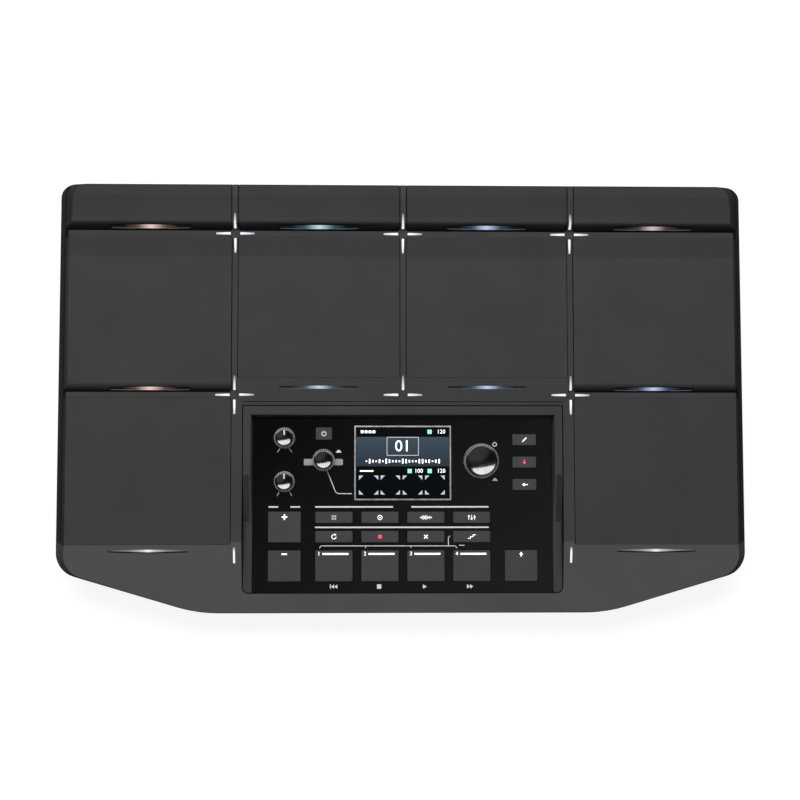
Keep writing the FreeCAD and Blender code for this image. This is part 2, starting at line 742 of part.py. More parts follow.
FOUR_ARMS, THREE_ARMS = (0, 90, 180, 270), (0, 90, 180)
star_places = []
for column in (-1, 0, 1):
    across = column * size("column_pitch")
    star_places.append(((across, size("high_rib_place")), FOUR_ARMS))
    turns = THREE_ARMS if column == 0 else FOUR_ARMS
    star_places.append(((across, size("low_rib_place")), turns))
star_slots, star_guides = [], []
for i, (place, turns) in enumerate(star_places, 1):
    slot = star_blank(place, turns, size("light_gap"), size("tray_top") - 1)
    star_slots.append(solid_feature("star_slot_%d" % i, slot))
    guide = star_blank(place, turns, 0.0, size("tray_top"))
    guide = solid_feature("star_guide_blank_%d" % i, guide)
    star_guides.append(shared("star_guide_%d" % i, guide, envelope))


def strip_blank(across, along, gap, low, high):
    """A slender lens, blunt at its ends, drawn upwards."""
    half = size("strip_length") / 2 + gap
    end, middle = size("strip_end_width") / 2 + gap, size("strip_width") / 2 + gap
    corners = [FreeCAD.Vector(x, y, 0) for x, y in ((-half, -end), (half, -end), (half, end), (-half, end))]
    edges = [
        Part.Arc(corners[0], FreeCAD.Vector(0, -middle, 0), corners[1]),
        Part.LineSegment(corners[1], corners[2]),
        Part.Arc(corners[2], FreeCAD.Vector(0, middle, 0), corners[3]),
        Part.LineSegment(corners[3], corners[0]),
    ]
    face = Part.Face(Part.Wire([edge.toShape() for edge in edges]))
    face.translate(FreeCAD.Vector(across, along, low))
    return face.extrude(FreeCAD.Vector(0, 0, high - low))


def pad_middle(column):
    """Middle of a pad's lit slit: the middle of its column, less the drafted side."""
    inner = (abs(column) - 0.5) * size("column_pitch") + size("rib_width") / 2 + size("pad_gap")
    outer = (abs(column) + 0.5) * size("column_pitch") - size("rib_width") / 2 - size("pad_gap")
    if abs(column) > 1:
        lean = math.tan(math.radians(size("side_draft")))
        outer = size("body_width") / 2 - size("mid_pad_height") * lean
    return math.copysign((inner + outer) / 2, column)


case_strip_slots, strip_guides = [], []
for i, column in enumerate(COLUMNS, 1):
    ledge_one = abs(column) < 1
    along = size("ledge_strip_place" if ledge_one else "apron_strip_place")
    low = size("tray_top")
    across = pad_middle(column)
    slot = strip_blank(across, along, size("light_gap"), low - 1, size("form_height"))
    case_strip_slots.append(solid_feature("case_strip_slot_%d" % i, slot))
    guide_low = low if ledge_one else size("low_pad_height") - size("strip_depth")
    guide = strip_blank(across, along, 0.0, guide_low, size("form_height"))
    guide = solid_feature("case_strip_blank_%d" % i, guide)
    strip_guides.append(shared("case_strip_%d" % i, guide, envelope))


def upright_slot(name, sign, gap, low):
    """A short slot with blunt ends beside the panel."""
    half = size("slot_width") / 2 + gap
    first = size("slot_rear") - size("slot_length") - gap
    face = blunt_bar(first, size("slot_rear") + gap, half, half)
    face.rotate(FreeCAD.Vector(0, 0, 0), FreeCAD.Vector(0, 0, 1), 90)
    face.translate(FreeCAD.Vector(sign * size("slot_place"), 0, low))
    return solid_feature(name, face.extrude(FreeCAD.Vector(0, 0, size("form_height") - low)))


upright_slots, upright_guides = [], []
for sign, word in ((-1, "left"), (1, "right")):
    upright_slots.append(
        upright_slot("upright_slot_" + word, sign, size("light_gap"), size("tray_top") - 1)
    )
    low = size("low_pad_height") - size("strip_depth") - size("slot_width")
    blank = upright_slot("upright_blank_" + word, sign, 0.0, low)
    upright_guides.append(shared("upright_guide_" + word, blank, envelope))

case_shell = joined(
    "case_shell", less("case_walls", envelope, hollow, opening, below_shelf, seam), *upper_bosses
)
top_case = less(
    "top_case",
    case_shell,
    *wells,
    *star_slots,
    *case_strip_slots,
    *upright_slots,
    *upper_screw_holes
)
deck_node(top_case, "top_case")
deck_node(group("star_lights", star_guides + upright_guides), "star_lights")

# Pads: rubber caps with a skirt, each over a foam block on the tray

skirt_bottom = "(rim_height + pad_travel + rest_clearance)"


def pad_plan(column):
    """Places of a pad along x and y, and of the pocket in its underside."""
    inner = "(%s + rib_width/2 + pad_gap)" % rib_line(abs(column) - 0.5)
    outer = "(%s - rib_width/2 - pad_gap)" % rib_line(abs(column) + 0.5)
    pocket_outer = outer + " - skirt_width"
    if abs(column) > 1:
        outer, pocket_outer = "body_width/2", "%s - skirt_width" % wall_side
    across, pocket_across = (inner, outer), (inner + " + skirt_width", pocket_outer)
    if column < 0:
        across, pocket_across = [
            tuple("-(%s)" % place for place in reversed(pair)) for pair in (across, pocket_across)
        ]
    return across, pocket_across


ROLLS = {
    "mid": ("mid_pad_height", "mid_roll_drop"),
    "bar": ("bar_flat_height", "bar_roll_drop"),
}


def pad_section(name, kind, front, rear, sink="0"):
    """The side view of a pad with a roll-down at its front, lowered by sink."""
    top, drop = ROLLS[kind]
    corners = [
        (front, skirt_bottom),
        (front, "%s - %s" % (top, drop)),
        (front + " + roll_length", top),
    ]
    if kind == "bar":
        corners += [
            ("crest_start", top),
            ("crest_place", "bar_crest_height"),
            ("crest_rear", "bar_crest_height - crest_fall"),
            ("body_depth", "bar_flat_height - rear_roll_drop"),
            ("body_depth", skirt_bottom),
        ]
    else:
        corners += [(rear, top), (rear, skirt_bottom)]
    return section(name, [(y, "%s - (%s)" % (z, sink)) for y, z in corners])


def pad(label, column, row, kind, height):
    low_y, high_y = PAD_ROWS[row]
    front = low_y + (" + pad_gap" if kind else " + end_gap")
    rear = high_y + " - end_gap"
    pocket_rear = rear + " - skirt_width"
    if row == "bar":
        rear, pocket_rear = "body_depth", wall_rear + " - skirt_width"
    across, pocket_across = pad_plan(column)
    plan = block(label + "_plan", across, (front, rear), (skirt_bottom, "form_height"))
    plan = rounded(
        label + "_corners",
        plan,
        size("pad_corner_radius"),
        lambda edge: rounded_corner(edge, size("body_width") / 2 - 1),
    )
    if kind:
        side = pad_section(label + "_side", kind, front, rear)
        body = swept(label + "_sweep", side, across)
        top, drop = ROLLS[kind]
        crest = size("crest_place"), size("bar_crest_height")
        begin = size("roll_length") + size("pad_gap")
        begin += size("high_rib_place" if kind == "bar" else "low_rib_place")
        begin += size("rib_width") / 2
        body = rounded(
            label + "_roll",
            body,
            size("roll_radius"),
            lambda edge: straight_across(edge)
            and (near(edge, begin, size(top)) or (kind == "bar" and near(edge, *crest))),
        )
    else:
        body = block(label + "_slab", across, (front, rear), (skirt_bottom, height))
    blank = shared(label + "_blank", plan, body, upper_form)
    pocket_front = front + (" + skirt_width" if not kind else " + roll_length")
    pocket_top = "(%s - rubber_thickness)" % height
    pocket = block(
        label + "_pocket", pocket_across, (pocket_front, pocket_rear), ("0", pocket_top)
    )
    tools = [pocket]
    if kind:
        along = begin - size("roll_length") + size("strip_inset")
        place = pad_middle(column), along
        slot = strip_blank(*place, size("strip_side_gap"), 0.0, size("form_height"))
        tools.append(solid_feature(label + "_slit", slot))
        guide = strip_blank(*place, 0.0, size("tray_top"), size("form_height"))
        guide = solid_feature(label + "_guide_blank", guide)
        low_side = pad_section(label + "_low_side", kind, front, rear, "strip_sink")
        low_sweep = swept(label + "_low_sweep", low_side, across)
        low_sweep = joined(
            label + "_low_form",
            low_sweep,
            block(label + "_low_foot", across, (front, rear), ("tray_top", skirt_bottom)),
        )
        strip_guides.append(shared(label + "_guide", guide, low_sweep))
    deck_node(less(label, blank, *tools), label)
    foam_x = (pocket_across[0] + " + foam_gap", pocket_across[1] + " - foam_gap")
    foam_y = (pocket_front + " + foam_gap", pocket_rear + " - foam_gap")
    foam_z = ("tray_top", "%s - pad_travel - rest_clearance" % pocket_top)
    foams.append(block(label + "_foam", foam_x, foam_y, foam_z))
    middle = ["((%s) + (%s))/2" % pair for pair in (foam_x, foam_y)]
    under = "tray_top - tray_thickness"
    sensors.append(
        rod(label + "_sensor", *middle, (under + " - sensor_thickness", under), "sensor_radius")
    )


foams, sensors = [], []
for number, column in enumerate(COLUMNS, 1):
    pad("bar_pad_%d" % number, column, "bar", "bar", "bar_flat_height")
for number, column in enumerate(COLUMNS, 1):
    outer_pad = abs(column) > 1
    row, kind = ("mid_outer", "mid") if outer_pad else ("mid_inner", None)
    pad("square_pad_%d" % number, column, row, kind, "mid_pad_height")
for number, column in ((5, COLUMNS[0]), (6, COLUMNS[-1])):
    pad("square_pad_%d" % number, column, "low", None, "low_pad_height")
deck_node(group("light_strips", strip_guides), "light_strips")
deck_node(group("pad_foams", foams), "pad_foams")
deck_node(group("piezo_sensors", sensors), "piezo_sensors")

# The tray under the pads, in the shape of a U round the control panel

tray_side = "(body_width/2 - wall_thickness/cos(side_draft) - tray_top*tan(side_draft) - tray_gap)"
tray_rear = "(body_depth - wall_thickness/cos(rear_draft) - tray_top*tan(rear_draft) - tray_gap)"
tray_levels = ("tray_top - tray_thickness", "tray_top")
tray_plate = rounded(
    "tray_plate",
    block(
        "tray_plate_block",
        ("-" + tray_side, tray_side),
        ("crease_place - apron_wall + tray_gap", tray_rear),
        tray_levels,
    ),
    size("rear_corner_radius"),
    upright,
)
tray_notch = block(
    "tray_notch",
    ("-%s - tray_gap" % shelf_side, shelf_side + " + tray_gap"),
    ("0", shelf_rear + " + tray_gap"),
    ("0", "form_height"),
)
tray_holes = at_screws(
    "tray_hole", ("0", "form_height"), "screw_radius + boss_wall + tray_gap", BOSS_PLACES
)
deck_node(less("pad_tray", tray_plate, tray_notch, *tray_holes), "pad_tray")

# Control panel, its frame and the display behind it

panel_under = "(panel_height - panel_thickness)"
frame_side = "(opening_width/2 - frame_gap)"
frame_front, frame_rear = "(opening_front + frame_gap)", "(opening_rear - frame_gap)"
frame_section = section(
    "frame_section",
    [
        (frame_front, "frame_base"),
        (frame_front, "frame_low_height"),
        ("frame_drop_front", "frame_low_height"),
        ("frame_drop_rear", "ledge_front_height"),
        (frame_rear, "ledge_front_height"),
        (frame_rear, "frame_base"),
    ],
)
frame_blank = rounded(
    "frame_drop",
    swept("frame_sweep", frame_section, ("-" + frame_side, frame_side)),
    size("frame_drop_radius"),
    lambda edge: straight_across(edge)
    and (
        near(edge, size("frame_drop_front"), size("frame_low_height"))
        or near(edge, size("frame_drop_rear"), size("ledge_front_height"))
    ),
)
frame_plan = rounded(
    "frame_plan",
    block(
        "frame_plan_block",
        ("-" + frame_side, frame_side),
        (frame_front, frame_rear),
        ("0", "form_height"),
    ),
    size("opening_radius") - size("frame_gap"),
    lambda edge: upright(edge) and edge.CenterOfMass.y < size("panel_rear"),
)
frame_room = doc.addObject("Part::Wedge", "frame_room")
frame_room.Placement.Rotation = FreeCAD.Rotation(FreeCAD.Vector(1, 0, 0), 90)
room_half, room_rear = "(panel_width/2 + panel_gap)", "(panel_rear + panel_gap)"
bind(
    frame_room,
    Ymin=panel_under + " - panel_gap",
    Ymax="ledge_front_height + wall_thickness",
    Xmin="-" + room_half,
    Xmax=room_half,
    X2min="-%s - frame_flare" % room_half,
    X2max=room_half + " + frame_flare",
    Zmin="-" + room_rear,
    Zmax="0",
    Z2min="-%s - frame_flare" % room_rear,
    Z2max="0",
)
frame_window = block(
    "frame_window",
    ("-panel_width/2 + panel_flange", "panel_width/2 - panel_flange"),
    (frame_front + " + panel_flange", "panel_rear - panel_flange"),
    ("0", "panel_height"),
)
frame_solid = shared("frame_solid", frame_blank, frame_plan)
deck_node(less("panel_frame", frame_solid, frame_room, frame_window), "panel_frame")

TRACKS = [step * 0.5 for step in (-3, -1, 1, 3)]
BUTTONS = [
    ("power_button", "-power_offset", "power_place", "power_width", "power_depth"),
    ("plus_button", "-side_offset", "plus_row_place", "square_width", "square_depth"),
    ("minus_button", "-side_offset", "low_row_place", "square_width", "square_depth"),
    ("shift_button", "side_offset", "low_row_place", "square_width", "square_depth"),
]
for i, step in enumerate((1, 0, -1), 1):
    place = "menu_place + %d*menu_pitch" % step
    BUTTONS.append(("menu_button_%d" % i, "menu_offset", place, "menu_width", "menu_depth"))
for i, step in enumerate(TRACKS, 1):
    across = "%s*track_pitch" % step
    BUTTONS.append(("mode_button_%d" % i, across, "mode_row_place", "track_width", "mode_depth"))
    BUTTONS.append(("loop_button_%d" % i, across, "loop_row_place", "track_width", "mode_depth"))
    BUTTONS.append(("track_button_%d" % i, across, "low_row_place", "track_width", "square_depth"))
ROTARIES = [
    ("main_volume", "-side_offset", "main_knob_place", "knob"),
    ("phones_volume", "-side_offset", "phones_knob_place", "knob"),
    ("metronome", "-metronome_offset", "metronome_place", "metronome"),
    ("value", "value_offset", "value_place", "value"),
]


holes = []
for label, x, y, width, depth in BUTTONS:
    levels = (panel_under + " - 1", "panel_height + 1")
    wide, deep = "(%s + 2*hole_gap)" % width, "(%s + 2*hole_gap)" % depth
    holes.append(centred_block(label + "_hole", x, y, wide, deep, levels))
for label, x, y, kind in ROTARIES:
    levels = (panel_under + " - 1", "panel_height + 1")
    holes.append(rod(label + "_hole", x, y, levels, "bush_radius + hole_gap"))
window_levels = (panel_under + " - 1", "panel_height + 1")
holes.append(
    centred_block(
        "display_hole", "0", "display_place", "display_width", "display_depth", window_levels
    )
)
panel_blank = rounded(
    "panel_blank",
    block(
        "panel_block",
        ("-panel_width/2", "panel_width/2"),
        ("panel_front", "panel_rear"),
        (panel_under, "panel_height"),
    ),
    size("panel_corner_radius"),
    lambda edge: upright(edge) and edge.CenterOfMass.y < size("display_place"),
)
deck_node(less("control_panel", panel_blank, *holes), "control_panel")

module = centred_block(
    "module", "0", "display_place", "module_width", "module_depth", ("0", panel_under + " - panel_gap")
)
glass = centred_block(
    "glass",
    "0",
    "display_place",
    "(display_width - 2*panel_gap)",
    "(display_depth - 2*panel_gap)",
    (panel_under + " - 1", "panel_height - glass_drop"),
)
deck_node(joined("display_module", module, glass), "display_module")

# Buttons with a collar under the panel, and the switch below each

flange_top = "(%s - rest_clearance)" % panel_under
button_under = "(%s - flange_thickness)" % flange_top
plunger_top = "(%s - button_travel - rest_clearance)" % button_under


switches = []
for label, x, y, width, depth in BUTTONS:
    cap = centred_block(label + "_cap", x, y, width, depth, (button_under, "button_height"))
    wide, deep = "(%s + 2*button_flange)" % width, "(%s + 2*button_flange)" % depth
    collar = centred_block(label + "_collar", x, y, wide, deep, (button_under, flange_top))
    deck_node(joined(label, cap, collar), label)
    body = centred_block(
        label + "_switch_body", x, y, "switch_width", "switch_width", ("0", "switch_body_height")
    )
    plunger_levels = ("switch_body_height - 1", plunger_top)
    plunger = centred_block(
        label + "_plunger", x, y, "plunger_width", "plunger_width", plunger_levels
    )
    switches.append(joined(label + "_switch", body, plunger))
deck_node(group("tact_switches", switches), "tact_switches")
board_plate = block(
    "panel_board_plate",
    ("-panel_board_width/2", "panel_board_width/2"),
    ("panel_board_front", "panel_board_rear"),
    ("-board_thickness", "0"),
)
deck_node(group("panel_board", [board_plate]), "panel_board")

# Rotary controls: housing with a threaded bush, shaft, knob, and a rotor where the shaft
# is also pushed

knob_foot = "(panel_height + knob_lift)"
shaft_top = "(panel_height + shaft_reach)"
bush_top = "(panel_height + bush_height)"


def knob(label, x, y, kind):
    if kind == "value":
        low, high, height = "value_base_radius", "value_top_radius", "value_height"
    else:
        low, high, height = "knob_base_radius", "knob_top_radius", "knob_height"
        if kind == "metronome":
            low = "metronome_base_radius"
    top = "(%s + %s)" % (knob_foot, height)
    body = cone(label + "_cone", x, y, (knob_foot, top), low, high)
    dish = rod(label + "_dish", x, y, (top + " - knob_dish", top + " + 1"), high + " - knob_rim")
    bore_levels = (knob_foot + " - 1", shaft_top + " + panel_gap")
    bore = rod(label + "_bore", x, y, bore_levels, "shaft_radius + shaft_fit")
    room_levels = (knob_foot + " - 1", bush_top + " + knob_push + rest_clearance")
    room = rod(label + "_room", x, y, room_levels, "bush_radius + bush_room")
    deck_node(less(label, body, dish, bore, room), label)


housings = []
for label, x, y, kind in ROTARIES:
    knob(label + "_knob", x, y, kind)
    shaft = rod(label + "_shaft_rod", x, y, ("shaft_foot", shaft_top), "shaft_radius")
    deck_node(group(label + "_shaft", [shaft]), label + "_shaft")
    box = centred_block(
        label + "_box", x, y, "housing_width", "housing_width", ("0", "housing_height")
    )
    bush = rod(label + "_bush", x, y, ("housing_height - 1", bush_top), "bush_radius")
    rooms = [
        rod(label + "_shaft_room", x, y, ("bore_foot", bush_top + " + 1"), "shaft_radius + shaft_fit")
    ]
    if kind != "knob":
        rotor_top = "(rotor_base + rotor_height)"
        disc = rod(label + "_rotor_disc", x, y, ("rotor_base", rotor_top), "rotor_radius")
        eye_levels = ("rotor_base - 1", rotor_top + " + 1")
        eye = rod(label + "_rotor_eye", x, y, eye_levels, "shaft_radius + shaft_fit")
        deck_node(less(label + "_rotor", disc, eye), label + "_rotor")
        room_levels = ("rotor_base - panel_gap", rotor_top + " + panel_gap")
        rooms.append(rod(label + "_rotor_room", x, y, room_levels, "rotor_radius + shaft_fit"))
    housings.append(less(label + "_housing", joined(label + "_case", box, bush), *rooms))
deck_node(group("rotary_housings", housings), "rotary_housings")

# Lower case. Walls and screw pillars are square to the deck, the floor is level.

tub_leans = ("-tub_draft",) * 3
tub_outer = drafted_form("tub_outer", "0", "-tub_blank_depth", "0", tub_leans)
tub_inner = drafted_form("tub_inner", "wall_thickness", "-tub_blank_depth", "1", tub_leans)
everywhere = ("-body_width", "body_width")


def tilted(name, *things):
    return on_deck(group(name, things))


def above(name, thing, height):
    """What of a piece lies higher than a level height."""
    low = block(name + "_low", everywhere, everywhere, ("-tub_blank_depth", height))
    return less(name, thing, low)


tub_form = above("tub_form", tilted("tub_outer_tilted", tub_outer), "foot_height")
tub_room = above("tub_room", tilted("tub_inner_tilted", tub_inner), "foot_height + wall_thickness")
pillar_width = "(2*screw_head_radius + 2*boss_wall)"
pillar_blocks = [
    centred_block("pillar_%d" % i, x, y, pillar_width, pillar_width, ("-tub_blank_depth", "0"))
    for i, (x, y) in enumerate(SCREW_PLACES, 1)
]
pillars = shared("pillars", tilted("pillars_tilted", *pillar_blocks), tub_form)
stand_places = [
    ("%sstand_spacing/2" % side, "stand_place %s stand_spacing/2" % end)
    for side in ("", "-")
    for end in "+-"
]
stand_bosses = [
    rod(
        "stand_boss_%d" % i,
        x,
        y,
        ("foot_height", "foot_height + insert_length + boss_wall"),
        "insert_radius + boss_wall",
    )
    for i, (x, y) in enumerate(stand_places, 1)
]
rear_face = "(body_depth*cos(deck_angle)/2)"
board_rear = "(%s - main_board_inset)" % rear_face
board_front = "(%s - main_board_depth)" % board_rear
post_places = [
    (across, along)
    for across in ("(main_board_width/2 - post_inset)", "-(main_board_width/2 - post_inset)", "0")
    for along in (board_rear + " - post_inset", board_front + " + post_inset")
]
post_levels = ("foot_height", "main_board_height")
posts = [
    centred_block("post_%d" % i, x, y, "post_width", "post_width", post_levels)
    for i, (x, y) in enumerate(post_places, 1)
]
tub_walls = less("tub_walls", tub_form, tub_room)
tub_solid = joined("tub_solid", tub_walls, pillars, *(stand_bosses + posts))
screw_rooms = at_screws("screw_room", ("-screw_grip - 1", "1"), "screw_radius + screw_gap")
head_rooms = at_screws(
    "head_room", ("-tub_blank_depth", "-screw_grip"), "screw_head_radius + screw_gap"
)
feet_rows = ("-(%s - foot_front_inset)" % rear_face, "(%s - foot_rear_inset)" % rear_face)
feet_places = [("%sfoot_offset" % side, along) for side in ("", "-") for along in feet_rows]
foot_rooms = [
    rod(
        "foot_room_%d" % i,
        x,
        y,
        ("0", "foot_height + foot_recess"),
        "foot_radius + plate_gap",
    )
    for i, (x, y) in enumerate(feet_places, 1)
]
insert_rooms = [
    rod("insert_room_%d" % i, x, y, ("0", "foot_height + insert_length"), "insert_radius")
    for i, (x, y) in enumerate(stand_places, 1)
]
rear_opening = rounded(
    "rear_opening",
    block(
        "rear_opening_block",
        ("-recess_width/2", "recess_width/2"),
        (rear_face + " - 2*wall_thickness", rear_face + " + wall_thickness"),
        ("recess_centre - recess_height/2", "recess_centre + recess_height/2"),
    ),
    size("plate_overlap"),
    lambda edge: abs((edge.lastVertex().Point - edge.firstVertex().Point).y) > 1,
)
node(
    less(
        "bottom_case",
        tub_solid,
        tilted("screw_rooms_tilted", *(screw_rooms + head_rooms)),
        rear_opening,
        *(foot_rooms + insert_rooms)
    ),
    "bottom_case",
)

screws = []
for i, (x, y) in enumerate(SCREW_PLACES, 1):
    head_levels = ("-screw_grip - screw_head_height", "-screw_grip")
    head = rod("screw_head_%d" % i, x, y, head_levels, "screw_head_radius")
    stem = rod("screw_stem_%d" % i, x, y, ("-screw_grip - 1", "screw_reach"), "screw_radius")
    screws.append(joined("screw_%d" % i, head, stem))
deck_node(group("case_screws", screws), "case_screws")

feet = [
    rod("foot_%d" % i, x, y, ("0", "foot_height + foot_recess"), "foot_radius")
    for i, (x, y) in enumerate(feet_places, 1)
]
node(group("rubber_feet", feet), "rubber_feet")

inserts = []
for i, (x, y) in enumerate(stand_places, 1):
    sleeve = rod(
        "insert_sleeve_%d" % i, x, y, ("foot_height", "foot_height + insert_length"), "insert_radius"
    )
    thread = rod(
        "insert_thread_%d" % i, x, y, ("0", "foot_height + insert_length + 1"), "thread_radius"
    )
    inserts.append(less("insert_%d" % i, sleeve, thread))
node(group("stand_inserts", inserts), "stand_inserts")

board_top = "(main_board_height + board_thickness)"
node(
    block(
        "main_board",
        ("-main_board_width/2", "main_board_width/2"),
        (board_front, board_rear),
        ("main_board_height", board_top),
    ),
    "main_board",
)

# Rear plates and the sockets behind them, all on one axis height

plate_rear = "(%s - wall_thickness - plate_gap)" % rear_face
plate_front = "(%s - plate_thickness)" % plate_rear
socket_front = "(%s - plate_gap)" % plate_front
nose_end = "(%s + nose_reach)" % plate_rear
axis_height = "recess_centre"


def socket_block(name, x, width, depth, half_height):
    """A socket's body on the main board, behind its plate."""
    return block(
        name,
        ("%s - (%s)/2" % (x, width), "%s + (%s)/2" % (x, width)),
        ("%s - (%s)" % (socket_front, depth), socket_front),
        (board_top, "%s + %s" % (axis_height, half_height)),
    )


def round_socket(name, x, width, depth, half_height, nose_radius, bore_radius, bore_depth):
    """A body with a round nose through the plate and a bore in it."""
    body = socket_block(name + "_body", x, width, depth, half_height)
    nose = rearward_rod(name + "_nose", x, axis_height, (socket_front + " - 1", nose_end), nose_radius)
    bore_levels = ("%s - (%s)" % (nose_end, bore_depth), nose_end + " + 1")
    bore = rearward_rod(name + "_bore", x, axis_height, bore_levels, bore_radius)
    return less(name, joined(name + "_solid", body, nose), bore)


def shell_block(name, x, width, height, y, inset="0"):
    """A block centred on the axis height, smaller on each side by inset."""
    return block(
        name,
        ("%s - (%s)/2 + %s" % (x, width, inset), "%s + (%s)/2 - %s" % (x, width, inset)),
        y,
        (
            "%s - (%s)/2 + %s" % (axis_height, height, inset),
            "%s + (%s)/2 - %s" % (axis_height, height, inset),
        ),
    )


def shell_socket(name, x, width, height):
    """A USB socket: a rectangular shell open to the rear, on a foot."""
    shell = shell_block(name + "_shell", x, width, height, (nose_end + " - usb_depth", nose_end))
    foot = socket_block(name + "_foot", x, width, "usb_depth/2", "0")
    cavity_levels = (nose_end + " - usb_cavity", nose_end + " + 1")
    cavity = shell_block(name + "_cavity", x, width, height, cavity_levels, "usb_shell")
    return less(name, joined(name + "_solid", shell, foot), cavity)


jack_holes, port_holes = [], []
plate_levels = (plate_front + " - 1", plate_rear + " + 1")


def round_hole(name, x, nose_radius):
    hole = nose_radius + " + plate_gap"
    return rearward_rod(name + "_hole", x, axis_height, plate_levels, hole)


jacks = []
for i in range(JACK_COUNT):
    name, x = "jack_%d" % (i + 1), "(jack_first + %d*jack_pitch)" % i
    jacks.append(
        round_socket(
            name,
            x,
            "jack_width",
            "jack_body_depth",
            "jack_body_height/2",
            "jack_nose_radius",
            "jack_bore_radius",
            "jack_bore_depth",
        )
    )
    jack_holes.append(round_hole(name, x, "jack_nose_radius"))
node(group("jack_sockets", jacks), "jack_sockets")

ports = []
for i, x in enumerate(("din_place", "(din_place + din_pitch)"), 1):
    name = "din_%d" % i
    ports.append(
        round_socket(
            name,
            x,
            "din_width",
            "din_body_depth",
            "din_body_height/2",
            "din_nose_radius",
            "din_bore_radius",
            "din_bore_depth",
        )
    )
    port_holes.append(round_hole(name, x, "din_nose_radius"))
for word in ("usb_host", "usb_device"):
    x, width, height = word + "_place", word + "_width", word + "_height"
    ports.append(shell_socket(word, x, width, height))
    port_holes.append(shell_block(word + "_hole", x, width, height, plate_levels, "-plate_gap"))

inlet = round_socket(
    "inlet",
    "inlet_place",
    "inlet_width",
    "inlet_depth",
    "inlet_width/2",
    "inlet_nose_radius",
    "inlet_bore_radius",
    "inlet_bore_depth",
)
pin_levels = ("%s - inlet_bore_depth - 1" % nose_end, nose_end + " - 1")
pin = rearward_rod("inlet_pin", "inlet_place", axis_height, pin_levels, "inlet_pin_radius")
ports.append(joined("dc_inlet", inlet, pin))
port_holes.append(round_hole("inlet", "inlet_place", "inlet_nose_radius"))
node(group("port_sockets", ports), "port_sockets")


def rear_plate(name, x, round_or_square_holes):
    """A plate behind the rear opening, lapping over its edge."""
    half_height = "recess_height/2 + plate_overlap"
    levels = ("recess_centre - %s" % half_height, "recess_centre + %s" % half_height)
    plate = block(name + "_block", x, (plate_front, plate_rear), levels)
    node(less(name, plate, *round_or_square_holes), name)


plate_side = "(recess_width/2 + plate_overlap)"
rear_plate("jack_plate", ("-" + plate_side, "plate_split - plate_gap"), jack_holes)
rear_plate("port_plate", ("plate_split + plate_gap", plate_side), port_holes)

doc.recompute()
wrong = [t.Name for t in doc.Objects if "Invalid" in t.State or "Error" in t.State]
for thing in kept:
    if thing.Shape.isNull() or not thing.Shape.isValid():
        wrong.append(thing.Label)
if wrong:
    raise RuntimeError("not built: " + ", ".join(wrong))

os.makedirs("parts", exist_ok=True)
for thing in kept:
    thing.Shape.exportStep("parts/%s.step" % thing.Label)
    solids, volume = len(thing.Shape.Solids), thing.Shape.Volume
    print("%s: %d solids, %.0f mm3" % (thing.Label, solids, volume))
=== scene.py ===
"""Looks of a sampling drum pad: rubber pads, lit guides, a control panel and its sockets.

Pieces on the deck are shaped in the deck's own millimetres, as the solids are: x across,
y from the front edge to the rear, z square to the deck. DECK then tilts and lifts them.
"""

import math

import bmesh
import bpy
from bpy.props import FloatProperty, FloatVectorProperty, IntProperty, PointerProperty
from mathutils import Euler, Matrix, Vector


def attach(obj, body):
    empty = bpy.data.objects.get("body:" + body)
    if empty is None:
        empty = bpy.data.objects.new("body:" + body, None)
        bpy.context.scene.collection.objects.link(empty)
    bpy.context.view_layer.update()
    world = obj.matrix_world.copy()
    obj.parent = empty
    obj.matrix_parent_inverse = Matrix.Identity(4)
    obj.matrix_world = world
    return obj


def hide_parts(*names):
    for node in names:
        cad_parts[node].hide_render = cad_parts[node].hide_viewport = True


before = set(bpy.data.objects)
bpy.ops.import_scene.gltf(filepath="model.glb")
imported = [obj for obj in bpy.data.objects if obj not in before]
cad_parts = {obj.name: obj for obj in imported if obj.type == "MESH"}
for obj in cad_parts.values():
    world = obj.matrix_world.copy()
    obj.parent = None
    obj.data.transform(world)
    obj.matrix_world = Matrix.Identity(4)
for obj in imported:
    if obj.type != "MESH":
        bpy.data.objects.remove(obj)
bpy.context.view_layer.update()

bl_info = {
    "name": "Sampling drum pad",
    "version": (1, 0, 0),
    "blender": (4, 5, 0),
    "location": "3D View > Sidebar > Drum pad",
    "description": "Dresses the solids of a sampling drum pad and lights them",
    "category": "Object",
}

MM = 0.001
DECK_DEPTH = 288.0
DECK_ANGLE = math.radians(5.0)
FRONT_HEIGHT = 27.0
DECK = (
    Matrix.Translation((0.0, -DECK_DEPTH * MM * math.cos(DECK_ANGLE) / 2, FRONT_HEIGHT * MM))
    @ Matrix.Rotation(DECK_ANGLE, 4, "X")
    @ Matrix.Scale(MM, 4)
)
LEVEL = Matrix.Scale(MM, 4)
COLUMN_PITCH = 111.4
STAR_ROWS = (144.2, 251.8)
PADS = ["bar_pad_%d" % i for i in range(1, 5)] + ["square_pad_%d" % i for i in range(1, 7)]
FLUSH_FRONTS = ["square_pad_%d" % i for i in (2, 3, 5, 6)]
TRACKS = (1, 2, 3, 4)


def length_property(name, description, default, least=0.1):
    return FloatProperty(name=name, description=description, default=default, min=least)


class DrumPadSizes(bpy.types.PropertyGroup):
    """Sizes of the finish, in millimetres."""

    pad_edge: length_property("Pad edge", "Rounding of the pads' top edges", 0.8)
    key_corner: length_property("Button corner", "Plan radius of the buttons' corners", 0.7)
    key_edge: length_property("Button edge", "Rounding of the buttons' top edges", 0.45)
    ink: length_property("Ink", "How far printed marks stand up", 0.06, 0.01)
    line: length_property("Line", "Width of the printed lines", 1.0, 0.2)
    ribs: IntProperty(name="Ribs", description="Ribs round a small knob", default=32, min=12)
    rib_width: length_property("Rib width", "Width of a knob's ribs", 0.5, 0.05)


